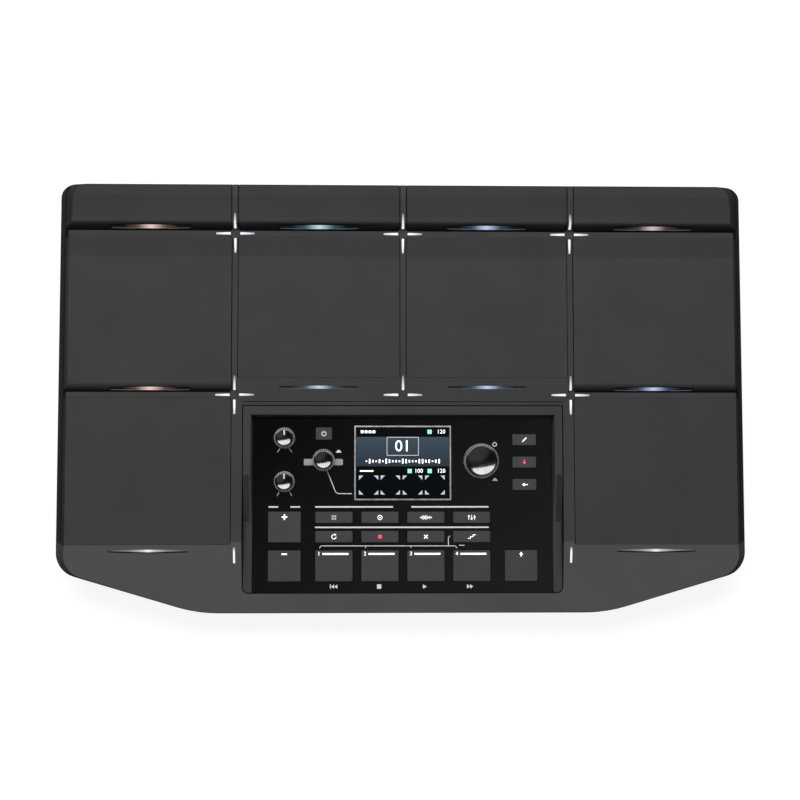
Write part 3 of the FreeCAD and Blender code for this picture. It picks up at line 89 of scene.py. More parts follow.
def colour_property(name, description, default):
    return FloatVectorProperty(
        name=name, description=description, default=default, subtype="COLOR", size=3, min=0, max=1
    )


class DrumPadColours(bpy.types.PropertyGroup):
    """Colours of the finish."""

    rubber: colour_property("Rubber", "Pads", (0.051, 0.051, 0.052))
    shell: colour_property("Shell", "Upper and lower case", (0.053, 0.053, 0.054))
    keys: colour_property("Keys", "Buttons", (0.052, 0.052, 0.055))
    panel: colour_property("Panel", "Glossy control panel", (0.0009, 0.0009, 0.0011))
    knob: colour_property("Knob", "Knob sides", (0.008, 0.008, 0.009))
    # The ribs' pale colour is a painted highlight on black ribs
    rib: colour_property("Rib", "Ribs of the knobs", (0.6, 0.6, 0.62))
    ink: colour_property("Ink", "Printed marks", (0.72, 0.72, 0.72))
    pale_ink: colour_property("Pale ink", "Fainter printed marks", (0.30, 0.30, 0.31))
    lamp: colour_property("Lamp", "Lit marks and stars", (1.0, 0.97, 1.0))
    alert: colour_property("Alert", "Red lit marks", (0.75, 0.05, 0.09))
    glow: colour_property("Glow", "Far ends of the lit stars", (0.30, 0.27, 0.46))


def sizes():
    return bpy.context.scene.drum_pad_sizes


def colours():
    return bpy.context.scene.drum_pad_colours


# Materials


def add_node(tree, kind, inputs=(), **settings):
    """Adds a node; each input is a value, a socket or a Field."""
    node = tree.nodes.new(kind)
    for key, value in settings.items():
        setattr(node, key, value)
    for key, value in dict(inputs).items():
        value = getattr(value, "socket", value)
        if isinstance(value, bpy.types.NodeSocket):
            tree.links.new(value, node.inputs[key])
        else:
            node.inputs[key].default_value = value
    return node


def calculate(tree, operation, *values):
    node = add_node(tree, "ShaderNodeMath", dict(enumerate(values)), operation=operation)
    return node.outputs["Value"]


class Field:
    """A number that varies over a surface: arithmetic on it adds nodes."""

    def __init__(self, tree, socket):
        self.tree, self.socket = tree, socket

    def to(self, operation, *others):
        return Field(self.tree, calculate(self.tree, operation, self, *others))

    def __add__(self, other):
        return self.to("ADD", other)

    def __sub__(self, other):
        return self.to("SUBTRACT", other)

    def __mul__(self, other):
        return self.to("MULTIPLY", other)

    def __truediv__(self, other):
        return self.to("DIVIDE", other)

    def __abs__(self):
        return self.to("ABSOLUTE")

    def __lt__(self, other):
        return self.to("LESS_THAN", other)

    def __gt__(self, other):
        return self.to("GREATER_THAN", other)

    def __invert__(self):
        """One where this is zero, and zero where it is one."""
        return Field(self.tree, calculate(self.tree, "SUBTRACT", 1.0, self))


class Finish:
    """A node tree round one Principled shader, with patterns in object coordinates."""

    def __init__(self, name, colour, roughness, **sockets):
        self.material = bpy.data.materials.new(name)
        self.material.use_nodes = True
        self.tree = self.material.node_tree
        self.shader = self.tree.nodes["Principled BSDF"]
        self.shader.inputs["Base Color"].default_value = tuple(colour) + (1.0,)
        self.shader.inputs["Roughness"].default_value = roughness
        for socket, value in sockets.items():
            self.shader.inputs[socket.replace("_", " ")].default_value = value
        self.place = self.add("ShaderNodeTexCoord").outputs["Object"]

    def add(self, kind, inputs=(), **settings):
        return add_node(self.tree, kind, inputs, **settings)

    def link(self, output, socket):
        self.tree.links.new(output, self.shader.inputs[socket])

    def noise(self, scale, detail=4.0):
        """Noise whose scale counts blobs per metre."""
        inputs = {"Vector": self.place, "Scale": scale, "Detail": detail}
        return self.add("ShaderNodeTexNoise", inputs).outputs["Fac"]

    def ramp(self, factor, stops, constant=False):
        """Colours along a factor; a stop's colour may be one number for a grey."""
        node = self.add("ShaderNodeValToRGB", {"Fac": factor})
        ramp = node.color_ramp
        ramp.interpolation = "CONSTANT" if constant else "LINEAR"
        while len(ramp.elements) < len(stops):
            ramp.elements.new(1.0)
        for element, (position, colour) in zip(ramp.elements, stops):
            element.position = position
            colour = (colour,) * 3 if isinstance(colour, float) else tuple(colour)
            element.color = colour + (1.0,)
        return node.outputs["Color"]

    def blend(self, operation, first, second):
        """Adds or multiplies two colours; either may be a Field or three numbers."""
        node = self.add("ShaderNodeVectorMath", {0: first, 1: second}, operation=operation)
        return node.outputs["Vector"]

    def mix(self, share, first, second):
        """The first colour where share is zero, and the second where it is one."""
        inputs = {0: share, 6: first, 7: second}
        return self.add("ShaderNodeMix", inputs, data_type="RGBA").outputs[2]

    def mottled(self, colour, spread, scale):
        """Lets the base colour, three numbers or a socket, wander a little."""
        noise = self.noise(scale, 5.0)
        if isinstance(colour, bpy.types.NodeSocket):
            share = self.ramp(noise, [(0.3, 1 - spread), (0.7, 1 + spread)])
            self.link(self.blend("MULTIPLY", colour, share), "Base Color")
        else:
            dark = [c * (1 - spread) for c in colour]
            light = [min(1.0, c * (1 + spread)) for c in colour]
            self.link(self.ramp(noise, [(0.3, dark), (0.7, light)]), "Base Color")
        return self

    def grained(self, scale, depth):
        """Raises a fine grain, depth in millimetres."""
        noise = self.noise(scale, 3.0)
        inputs = {"Height": noise, "Strength": 1.0, "Distance": depth * MM}
        self.link(self.add("ShaderNodeBump", inputs).outputs["Normal"], "Normal")
        return self

    def rubbed(self, low, high, scale=60.0):
        """Lets the roughness wander between two values."""
        ramp = self.ramp(self.noise(scale, 6.0), [(0.35, low), (0.65, high)])
        self.link(ramp, "Roughness")
        return self

    def deck_axes(self):
        """The deck's x, y and z in millimetres, as Fields."""
        undo = DECK.inverted()
        inputs = {
            "Vector": self.place,
            "Location": undo.to_translation(),
            "Rotation": undo.to_euler(),
            "Scale": undo.to_scale(),
        }
        turned = self.add("ShaderNodeMapping", inputs).outputs["Vector"]
        outputs = self.add("ShaderNodeSeparateXYZ", {"Vector": turned}).outputs
        return [Field(self.tree, socket) for socket in outputs]

    def lit(self, colour, strength=1.0):
        """Gives light of its own: colour may be a socket or three numbers."""
        if isinstance(colour, bpy.types.NodeSocket):
            self.link(colour, "Emission Color")
        else:
            self.shader.inputs["Emission Color"].default_value = tuple(colour) + (1.0,)
        self.shader.inputs["Emission Strength"].default_value = strength
        return self


def surface(name, colour, roughness, mottle, rub, grain=None, **sockets):
    """A finish that wanders in colour and roughness, and may have a grain."""
    finish = Finish(name, colour, roughness, **sockets).mottled(colour, *mottle).rubbed(*rub)
    return finish.grained(*grain) if grain else finish


def metal(name, colour, roughness, depth=0.01):
    rub = (roughness * 0.8, roughness * 1.25, 400.0)
    return surface(name, colour, roughness, (0.08, 150.0), rub, (2500.0, depth), Metallic=1.0)


def moulded(name, colour, roughness, scale=1500.0, depth=0.02):
    rub = (roughness * 0.9, min(1.0, roughness * 1.1))
    return surface(name, colour, roughness, (0.1, 80.0), rub, (scale, depth))


def printed_ink(name, colour):
    return surface(name, colour, 0.6, (0.04, 900.0), (0.55, 0.7, 900.0))


def lit_mark(name, colour, strength):
    finish = Finish(name, colour, 0.4)
    dim = [c * 0.86 for c in colour]
    return finish.lit(finish.ramp(finish.noise(500.0), [(0.3, dim), (0.7, colour)]), strength)


# Places along the deck that part the front, middle and rear rows
ROW_LIMITS = (95.0, 200.0)
# Painted shade and highlight on the outer and rear pads by their place along the deck: painted
# shade where a pad rolls down in front and along the bars' rear edge, a painted highlight on the
# crest above each roll, and the rear bars a little darker overall
PAD_PAINTED_SHADING = (
    (143.0, 1.0), (144.5, 0.15), (147.4, 0.25), (148.8, 0.6), (150.0, 1.1), (151.4, 1.0),
    (235.5, 1.0), (237.0, 0.86), (253.0, 0.86), (254.4, 0.2), (256.4, 0.4), (257.8, 0.8),
    (259.0, 1.1), (260.6, 0.88), (284.6, 0.86), (286.0, 0.4),
)


def pad_rubber():
    """Matt rubber with painted shade: darker on the rear bars, darkest where a pad rolls down in
    front, with a painted highlight above each roll.
    """
    colour = tuple(colours().rubber)
    finish = Finish("pad_rubber", colour, 0.7, Specular_IOR_Level=0.0)
    across, along, _ = finish.deck_axes()
    # Painted shade in the rolls and a painted highlight on the crests; the inner front and middle
    # pads keep their full colour
    painted_shading = finish.ramp(along / DECK_DEPTH, [(y / DECK_DEPTH, grey) for y, grey in PAD_PAINTED_SHADING])
    unshaded_pads = (abs(across) < COLUMN_PITCH) * (along < ROW_LIMITS[1])
    finish.mottled(finish.blend("MULTIPLY", colour, unshaded_pads.to("MAXIMUM", painted_shading)), 0.05, 30.0)
    return finish.grained(2600.0, 0.02).rubbed(0.6, 0.75)


APRON_DEPTH = 46.0
APRON_FADE = 0.007
SIDE_REACH = 250.0
# Painted shade on the case's strips beside the pads, by distance across the deck
SIDE_PAINTED_SHADE = ((222.3, 1.0), (222.6, 0.36), (225.4, 0.42), (226.2, 0.8))


def shell_plastic(name="shell_plastic", apron=None):
    """Fine-grained plastic; with an apron value, painted light makes the apron paler in front and
    painted shade darkens the case beside the pads.
    """
    colour = painted_shading = tuple(colours().shell)
    finish = Finish(name, colour, 0.6, Specular_IOR_Level=0.0)
    if apron:
        # Painted light on the apron in front, painted shade on the strips beside the pads
        across, along, _ = finish.deck_axes()
        edge = APRON_DEPTH / DECK_DEPTH
        front = finish.ramp(along / DECK_DEPTH, [(edge, apron), (edge + APRON_FADE, 1.0)])
        stops = [(reach / SIDE_REACH, grey) for reach, grey in SIDE_PAINTED_SHADE]
        sides = finish.ramp(abs(across) / SIDE_REACH, stops)
        painted_side_shade = (along < APRON_DEPTH).to("MAXIMUM", sides)
        painted_shading = finish.blend("MULTIPLY", colour, finish.blend("MULTIPLY", front, painted_side_shade))
    return finish.mottled(painted_shading, 0.06, 24.0).grained(3800.0, 0.018).rubbed(0.55, 0.68)


def circuit_board():
    """Green resist over traces that run both ways."""
    green = (0.02, 0.12, 0.055)
    finish = Finish("circuit_board", green, 0.35)
    inputs = {
        "Vector": finish.place,
        "Color1": green + (1.0,),
        "Color2": (0.025, 0.14, 0.065, 1.0),
        "Mortar": (0.012, 0.075, 0.035, 1.0),
        "Scale": 60.0,
        "Mortar Size": 0.03,
    }
    finish.link(finish.add("ShaderNodeTexBrick", inputs).outputs["Color"], "Base Color")
    return finish.rubbed(0.28, 0.42, 200.0).grained(900.0, 0.01)


UPRIGHT_START, UPRIGHT_LENGTH = 37.5, 6.5
UPRIGHT_PLACE = 111.0
STAR_REACH = 19.0
# Where an arm lies from the middle of its star, and how far from there it still counts
ARM_PLACE, ARM_SPAN = 10.0, 7.0
ARM_LOSSES = (0.3, 0.22, 0.08)


def star_light():
    """White near a star's middle, dim lavender at the tips, dark along the edges of each arm."""
    finish = Finish("star_light", (0.02, 0.02, 0.03), 0.35, Specular_IOR_Level=0.2)
    across, along, _ = finish.deck_axes()
    side = ((across / COLUMN_PITCH + 2.5).to("FRACT") - 0.5) * COLUMN_PITCH
    rows = [along - row for row in STAR_ROWS]
    ahead = abs(rows[0]).to("MINIMUM", abs(rows[1]))
    reach = abs(side).to("MAXIMUM", ahead)
    rearward = [row.to("COMPARE", ARM_PLACE, ARM_SPAN) for row in rows]
    arms = [rearward[0].to("MAXIMUM", rearward[1])]
    arms += [side.to("COMPARE", place, ARM_SPAN) for place in (ARM_PLACE, -ARM_PLACE)]
    fade = reach / STAR_REACH
    for arm, loss in zip(arms, ARM_LOSSES):
        fade = fade + arm * loss
    upright = along < ROW_LIMITS[0]
    fade = fade * ~upright + (along - UPRIGHT_START) / UPRIGHT_LENGTH * upright
    lamp, glow = Vector(colours().lamp), Vector(colours().glow)
    tints = (lamp, lamp.lerp(glow, 0.35), lamp.lerp(glow, 0.8), glow * 0.4)
    colour = finish.ramp(fade, list(zip((0.4, 0.66, 0.84, 1.0), tints)))
    off_star = abs(side).to("MINIMUM", ahead) + reach * 0.022
    off_slot = abs(abs(across) - UPRIGHT_PLACE) + 0.2
    off = off_star * ~upright + off_slot * upright
    core = finish.ramp(off, [(0.8, 1.0), (0.94, (0.03, 0.02, 0.06))])
    return finish.lit(finish.blend("MULTIPLY", colour, core))


STRIP_HALF = 26.0
# Front edges of the guides in the outer middle pads, the inner ones and the rear bars
STRIP_FRONTS = (147.3, 148.0, 254.9)
STRIP_FACE = 0.12
STRIP_BORDER = (0.36, 0.24)
APRON_SLIT_START, APRON_SLIT_DEPTH = 40.1, 2.2
STRIP_COLOURS = {
    "high": [(0.95, 0.55, 0.50), (0.45, 0.80, 1.0), (0.40, 0.58, 1.0), (0.60, 0.36, 0.46)],
    "middle": [(1.0, 0.60, 0.55), (0.42, 0.66, 1.0), (0.40, 0.62, 1.0), (0.40, 0.55, 1.0)],
    "low": [(1.0, 0.95, 0.95), (1.0, 0.95, 0.95), (1.0, 0.9, 0.92), (1.0, 0.84, 0.88)],
}


def strip_light():
    """Bright in the middle of each slit, dark towards its ends, a colour for each."""
    finish = Finish("strip_light", (0.004, 0.004, 0.005), 0.3, Specular_IOR_Level=0.2)
    across, along, _ = finish.deck_axes()
    columns = across / (COLUMN_PITCH * 4) + 0.5
    rows = {
        row: finish.ramp(columns, [(i / 4, hue) for i, hue in enumerate(hues)], constant=True)
        for row, hues in STRIP_COLOURS.items()
    }
    colour = finish.mix(along > ROW_LIMITS[0], rows["low"], rows["middle"])
    colour = finish.mix(along > ROW_LIMITS[1], colour, rows["high"])
    middle = abs((across / COLUMN_PITCH + 2.0).to("FRACT") - 0.5)
    share = middle * COLUMN_PITCH / STRIP_HALF
    bright = finish.ramp(share, [(0.0, 0.5), (0.2, 0.3), (0.4, 0.08), (0.7, 0.006)])
    core = finish.ramp(share, [(0.0, 0.32), (0.3, 0.0)])
    high = finish.blend("ADD", finish.blend("MULTIPLY", colour, bright), core)
    last = along > ROW_LIMITS[1]
    inner = (abs(across) < COLUMN_PITCH) * ~last
    outer_front, inner_front, rear_front = STRIP_FRONTS
    edge = inner * (inner_front - outer_front) + outer_front + last * (rear_front - outer_front)
    inward = along - edge
    border = inward.to("COMPARE", *STRIP_BORDER) * (share * 0.1)
    high = finish.blend("ADD", finish.blend("MULTIPLY", high, inward > STRIP_FACE), border)
    lens = (along - APRON_SLIT_START) / APRON_SLIT_DEPTH > share * 0.35 + 0.25
    low = finish.ramp(share, [(0.0, 0.9), (0.16, 0.5), (0.45, 0.22), (1.0, 0.09)])
    low = finish.blend("MULTIPLY", low, lens)
    front = along < ROW_LIMITS[0]
    shown = [finish.blend("MULTIPLY", high, ~front), finish.blend("MULTIPLY", low, front)]
    return finish.lit(finish.blend("ADD", *shown))


def screen_glow(name, colour, gloss, start, length, low, high):
    """A screen that glows from low in front to high in the rear."""
    finish = Finish(name, colour, gloss[0], Specular_IOR_Level=gloss[1])
    share = (finish.deck_axes()[1] - start) / length
    return finish.lit(finish.ramp(share, [(0.0, low), (1.0, high)]))


# Shapes


def settle(name, shape, finish, body, place=DECK, replaced=(), sharp=35.0):
    """Makes a piece of a bmesh, puts it where it belongs and lets it ride on its body."""
    bmesh.ops.transform(shape, matrix=place, verts=shape.verts)
    mesh = bpy.data.meshes.new(name)
    shape.to_mesh(mesh)
    shape.free()
    mesh.shade_smooth()
    mesh.set_sharp_from_angle(angle=math.radians(sharp))
    piece = bpy.data.objects.new(name, mesh)
    bpy.context.scene.collection.objects.link(piece)
    mesh.materials.append(finish.material)
    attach(piece, body)
    if replaced:
        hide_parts(*replaced)
    return piece


def dress(finish, *nodes):
    """Gives carried-over nodes their material."""
    for node in nodes:
        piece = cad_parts[node]
        piece.data.materials.clear()
        piece.data.materials.append(finish.material)


def deck_box(node):
    """Lowest and highest corner of a node in the deck's millimetres."""
    undo = DECK.inverted()
    points = [undo @ v.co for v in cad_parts[node].data.vertices]
    low = Vector([min(p[i] for p in points) for i in range(3)])
    high = Vector([max(p[i] for p in points) for i in range(3)])
    return low, high


def merged(node):
    """A bmesh of a node's solid, in the deck's millimetres, with whole faces."""
    shape = bmesh.new()
    shape.from_mesh(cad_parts[node].data)
    bmesh.ops.transform(shape, matrix=DECK.inverted(), verts=shape.verts)
    bmesh.ops.remove_doubles(shape, verts=shape.verts, dist=0.002)
    bmesh.ops.dissolve_limit(
        shape, angle_limit=math.radians(0.6), verts=shape.verts, edges=shape.edges
    )
    return shape


SOFTENED_ANGLE = math.radians(25.0)


def soften(shape, width, wanted, segments=3):
    """Rounds the edges that wanted picks among the sharp ones."""
    edges = [
        edge
        for edge in shape.edges
        if len(edge.link_faces) == 2
        and edge.calc_face_angle(0.0) > SOFTENED_ANGLE
        and wanted(edge)
    ]
    bmesh.ops.bevel(
        shape,
        geom=edges,
        offset=width,
        offset_type="OFFSET",
        affect="EDGES",
        segments=segments,
        profile=0.5,
        material=-1,
        clamp_overlap=True,
    )


def bar(shape, x, y, width, depth, low, high, turn=0.0):
    """A flat bar centred on a place."""
    matrix = (
        Matrix.Translation((x, y, (low + high) / 2))
        @ Matrix.Rotation(turn, 4, "Z")
        @ Matrix.Diagonal((width, depth, high - low, 1.0))
    )
    bmesh.ops.create_cube(shape, size=1.0, matrix=matrix)


def prism(shape, x, y, radius, low, high, sides=28):
    """An upright disc."""
    place = Matrix.Translation((x, y, (low + high) / 2)) @ Matrix.Rotation(-math.pi / 2, 4, "Z")
    measures = {"segments": sides, "radius1": radius, "radius2": radius, "depth": high - low}
    bmesh.ops.create_cone(shape, cap_ends=True, matrix=place, **measures)


def plate(shape, points, low, high):
    """A flat piece with the given corners."""
    verts = [shape.verts.new((x, y, low)) for x, y in points]
    foot = shape.faces.new(verts)
    made = bmesh.ops.extrude_face_region(shape, geom=[foot], use_keep_orig=True)["geom"]
    raised = [v for v in made if isinstance(v, bmesh.types.BMVert)]
    bmesh.ops.translate(shape, vec=(0, 0, high - low), verts=raised)
    faces = {face for vert in verts + raised for face in vert.link_faces}
    bmesh.ops.recalc_face_normals(shape, faces=list(faces))


def stroke(shape, points, width, low, high):
    """A line of even width through places, with round joints."""
    for (ax, ay), (bx, by) in zip(points, points[1:]):
        length, turn = math.hypot(bx - ax, by - ay), math.atan2(by - ay, bx - ax)
        bar(shape, (ax + bx) / 2, (ay + by) / 2, length, width, low, high, turn)
    for x, y in points[1:-1]:
        prism(shape, x, y, width / 2, low, high, sides=12)


def spin(shape, geom, sweep, steps, closed):
    bmesh.ops.spin(
        shape, geom=geom, cent=(0, 0, 0), axis=(0, 0, 1), angle=sweep, steps=steps, use_merge=closed
    )


def ring(shape, x, y, outer, inner, low, high, start=0.0, sweep=math.tau, steps=28):
    """A flat ring, or a part of one."""
    before = set(shape.verts)
    corners = [(inner, low), (outer, low), (outer, high), (inner, high)]
    verts = [
        shape.verts.new((r * math.cos(start), r * math.sin(start), z)) for r, z in corners
    ]
    face = shape.faces.new(verts)
    spin(shape, [face] + list(face.edges) + verts, sweep, steps, sweep >= math.tau - 1e-6)
    made = [vert for vert in shape.verts if vert not in before]
    bmesh.ops.translate(shape, vec=(x, y, 0), verts=made)
    bmesh.ops.recalc_face_normals(shape, faces=list({f for v in made for f in v.link_faces}))


def lathe(shape, x, y, profile, steps=64):
    """A closed turned form from (radius, height) pairs, its ends on the axis."""
    verts = [shape.verts.new((r, 0.0, z)) for r, z in profile]
    edges = [shape.edges.new(pair) for pair in zip(verts, verts[1:])]
    spin(shape, verts + edges, math.tau, steps, True)
    bmesh.ops.remove_doubles(shape, verts=shape.verts, dist=1e-4)
    bmesh.ops.recalc_face_normals(shape, faces=shape.faces)
    bmesh.ops.translate(shape, vec=(x, y, 0), verts=shape.verts)


def numeral(shape, x, y, text, height, low, high):
    """Adds a number, centred on a place, as a closed thin solid."""
    curve = bpy.data.curves.new("numeral", "FONT")
    curve.body = text
    curve.size = height * 1.4
    curve.align_x, curve.align_y = "CENTER", "CENTER"
    curve.extrude = (high - low) / 2
    curve.offset = height * 0.004
    curve.resolution_u = 3
    lettering = bpy.data.objects.new("numeral", curve)
    mesh = bpy.data.meshes.new_from_object(lettering)
    mesh.transform(Matrix.Translation((x, y, (low + high) / 2)))
    shape.from_mesh(mesh)
    bpy.data.objects.remove(lettering)
    bpy.data.curves.remove(curve)
    bpy.data.meshes.remove(mesh)


# What makes each kind of mark, and how many of its measures come before the levels
MAKERS = {"bar": (bar, 2), "ring": (ring, 2), "disc": (prism, 1), "numeral": (numeral, 2)}


def draw(shape, marks, x, y, low, high):
    """Adds marks round a place: each is a kind, its own place and its measures."""
    for kind, *measures in marks:
        if kind == "plate":
            plate(shape, [(x + dx, y + dy) for dx, dy in measures], low, high)
        elif kind == "stroke":
            points = [(x + dx, y + dy) for dx, dy in measures[1:]]
            stroke(shape, points, measures[0], low, high)
        else:
            maker, count = MAKERS[kind]
            dx, dy, *rest = measures
            maker(shape, x + dx, y + dy, *rest[:count], low, high, *rest[count:])


def drawn(name, marks, levels, finish, body, at=(0.0, 0.0), place=DECK):
    """Makes a piece of marks alone."""
    shape = bmesh.new()
    draw(shape, marks, *at, *levels)
    settle(name, shape, finish, body, place=place)


# Operators


# Edges lower than this above a pad's foot stay sharp, as do those of its flush sides
PAD_FOOT = 1.5
FLUSH_BAND = 0.5
# The slit keeps its edges: its distance from the pad's ends and its depth behind the front
SLIT_INSET = 20
SLIT_BAND = (0.4, 6.0)


class DRUMPAD_OT_pads(bpy.types.Operator):
    """Rounds the rubber pads and gives them their finish"""

    bl_idname = "drumpad.pads"
    bl_label = "Pads"

    def execute(self, context):
        rubber = pad_rubber()
        for node in PADS:
            shape = merged(node)
            soften(shape, sizes().pad_edge, self.outline(node))
            settle(node + "_cap", shape, rubber, node, replaced=(node,), sharp=40)
        return {"FINISHED"}

    @staticmethod
    def outline(node):
        """Picks the edges round the top, not those of the slit or the underside."""
        low, high = deck_box(node)
        flush_front, flush_rear = node in FLUSH_FRONTS, node.startswith("square")

        def picked(edge):
            middle = (edge.verts[0].co + edge.verts[1].co) / 2
            if middle.z < low.z + PAD_FOOT:
                return False
            if flush_front and middle.y < low.y + FLUSH_BAND:
                return False
            if flush_rear and middle.y > high.y - FLUSH_BAND:
                return False
            near_slit = low.y + SLIT_BAND[0] < middle.y < low.y + SLIT_BAND[1]
            return not (near_slit and low.x + SLIT_INSET < middle.x < high.x - SLIT_INSET)

        return picked


# Painted light: how much paler the apron in front is painted
APRON_PAINTED_LIGHT = 1.75
BEZEL_EDGE, BEZEL_FOOT = 0.4, 8.0
# Dark strips laid on the frame's side ramps as painted shade, where the sloped faces fall into
# shade
RAMP_SHADE_PLACE = (103.3, 76.0, 13.26)
RAMP_SHADE_SIZE = (3.4, 31.0, 0.5, 1.0)
RAMP_SHADE_SLOPE = 12.2
RAMP_SHADE_CORNER = 1.0


class DRUMPAD_OT_case(bpy.types.Operator):
    """Finishes the case, the panel frame and the control panel"""

    bl_idname = "drumpad.case"
    bl_label = "Case and panel"

    def execute(self, context):
        dress(shell_plastic("apron_plastic", APRON_PAINTED_LIGHT), "top_case")
        dress(shell_plastic(), "bottom_case")
        shape = merged("panel_frame")
        soften(shape, BEZEL_EDGE, lambda edge: all(v.co.z > BEZEL_FOOT for v in edge.verts))
        bezel = shell_plastic("bezel_plastic")
        settle("panel_bezel", shape, bezel, "case", replaced=("panel_frame",))
        gloss = surface("panel_gloss", colours().panel, 0.1, (0.15, 18.0), (0.08, 0.12, 40.0))
        dress(gloss, "control_panel")
        # Painted shade: dark rubber strips on the sloped ramps of the frame's sides
        ramp_shade_strips = bmesh.new()
        tilt = Matrix.Rotation(math.radians(RAMP_SHADE_SLOPE), 4, "X") @ Matrix.Diagonal(RAMP_SHADE_SIZE)
        for side in (-1, 1):
            place = Matrix.Translation((side * RAMP_SHADE_PLACE[0], *RAMP_SHADE_PLACE[1:]))
            bmesh.ops.create_cube(ramp_shade_strips, size=1.0, matrix=place @ tilt)
        soften(ramp_shade_strips, RAMP_SHADE_CORNER, lambda edge: abs(edge.calc_length() - RAMP_SHADE_SIZE[2]) < 0.01)
        rubber = surface(
            "grip_rubber", (0.027, 0.027, 0.028), 0.6, (0.1, 90.0), (0.5, 0.7), (3000.0, 0.015),
            Specular_IOR_Level=0.1,
        )
        settle("frame_grips", ramp_shade_strips, rubber, "case")
        return {"FINISHED"}


class DRUMPAD_OT_lights(bpy.types.Operator):
    """Lights the stars, the upright slots and the slits of the pads"""

    bl_idname = "drumpad.lights"
    bl_label = "Lights"

    def execute(self, context):
        dress(star_light(), "star_lights")
        dress(strip_light(), "light_strips")
        return {"FINISHED"}


def centre_of(node):
    low, high = deck_box(node)
    return (low.x + high.x) / 2, (low.y + high.y) / 2, high.z


# Marks round the middle of a button, in millimetres
SYMBOLS = {
    "plus": [("bar", 0.0, 6.6, 3.7, 0.9), ("bar", 0.0, 6.6, 0.9, 3.7)],
    "minus": [("bar", 0.0, 7.8, 3.6, 1.0)],
    "power": [
        ("ring", 0.0, 0.0, 1.7, 1.1, math.radians(115), math.radians(310)),
        ("bar", 0.0, 1.2, 0.55, 1.5),
    ],
    "four squares": [
        ("bar", dx, dy, 1.2, 1.2) for dx in (-0.85, 0.85) for dy in (-0.85, 0.85)
    ],
    "drum": [("ring", 0.0, 0.0, 1.65, 1.25), ("disc", 0.0, 0.0, 0.5)],
    "wave": [
        ("bar", 0.9 * i - 3.6, 0.0, 0.42, tall)
        for i, tall in enumerate((0.7, 1.7, 2.9, 1.9, 3.2, 2.2, 1.2, 2.0, 0.8))
    ],
    "sliders": [
        mark
        for dx, knob in zip((-1.9, 0.0, 1.9), (0.8, -0.8, 0.2))
        for mark in (("bar", dx, 0.0, 0.35, 3.3), ("bar", dx, knob, 1.25, 0.65))
    ],
    "loop": [
        ("ring", 0.0, 0.0, 1.65, 1.2, math.radians(70), math.radians(290)),
        ("plate", (0.4, 2.2), (0.4, 0.6), (1.7, 1.4)),
    ],
    "record": [("disc", 0.0, 0.0, 1.35)],
    "cross": [("bar", 0.0, 0.0, 3.4, 0.6, turn) for turn in (math.pi / 4, -math.pi / 4)],
    "stairs": [
        (
            "stroke", 0.45, (-2.6, -1.2), (-0.9, -1.2), (-0.9, 0.0), (0.9, 0.0), (0.9, 1.2),
            (2.6, 1.2),
        )
    ],
    "arrow down": [
        ("bar", 0.0, 0.9, 0.6, 1.6), ("plate", (-1.2, 0.2), (0.0, -1.5), (1.2, 0.2))
    ],
    "arrow left": [
        ("bar", 1.0, 0.0, 2.2, 0.6), ("plate", (0.0, 1.2), (-1.7, 0.0), (0.0, -1.2))
    ],
    "pencil": [
        ("bar", 0.35, 0.35, 3.0, 0.8, math.pi / 4),
        ("plate", (-1.6, -1.6), (-0.5, -1.1), (-1.1, -0.5)),
    ],
    "shift arrow": [
        ("plate", (-1.3, 7.5), (1.3, 7.5), (0.0, 9.2)), ("bar", 0.0, 6.8, 0.9, 1.4)
    ],
    "light bar": [("bar", 1.0, 7.9, 17.2, 1.2)],
}
SYMBOLS.update({str(i): [("numeral", -9.9, 8.0, str(i), 2.6)] for i in TRACKS})
# Button, last word of the piece's name, lamp or ink, and symbol
KEY_MARKS = [
    ("plus_button", "plus", "white", "plus"),
    ("minus_button", "minus", "white", "minus"),
    ("power_button", "ring", "ink", "power"),
]
for group, icons in (
    ("mode", ("four squares", "drum", "wave", "sliders")),
    ("loop", ("loop", "record", "cross", "stairs")),
    ("menu", ("pencil", "arrow down", "arrow left")),
):
    for i, icon in enumerate(icons, 1):
        lamp = {"four squares": "faint", "record": "red", "arrow down": "red"}.get(icon, "white")
        KEY_MARKS.append(("%s_button_%d" % (group, i), "icon", lamp, icon))
KEY_MARKS.append(("shift_button", "arrow", "white", "shift arrow"))
for i in TRACKS:
    KEY_MARKS += [
        ("track_button_%d" % i, "number", "white", str(i)),
        ("track_button_%d" % i, "bar", "white", "light bar"),
    ]
# How far a mark's foot is sunk into the face that carries it
SUNK = 0.03


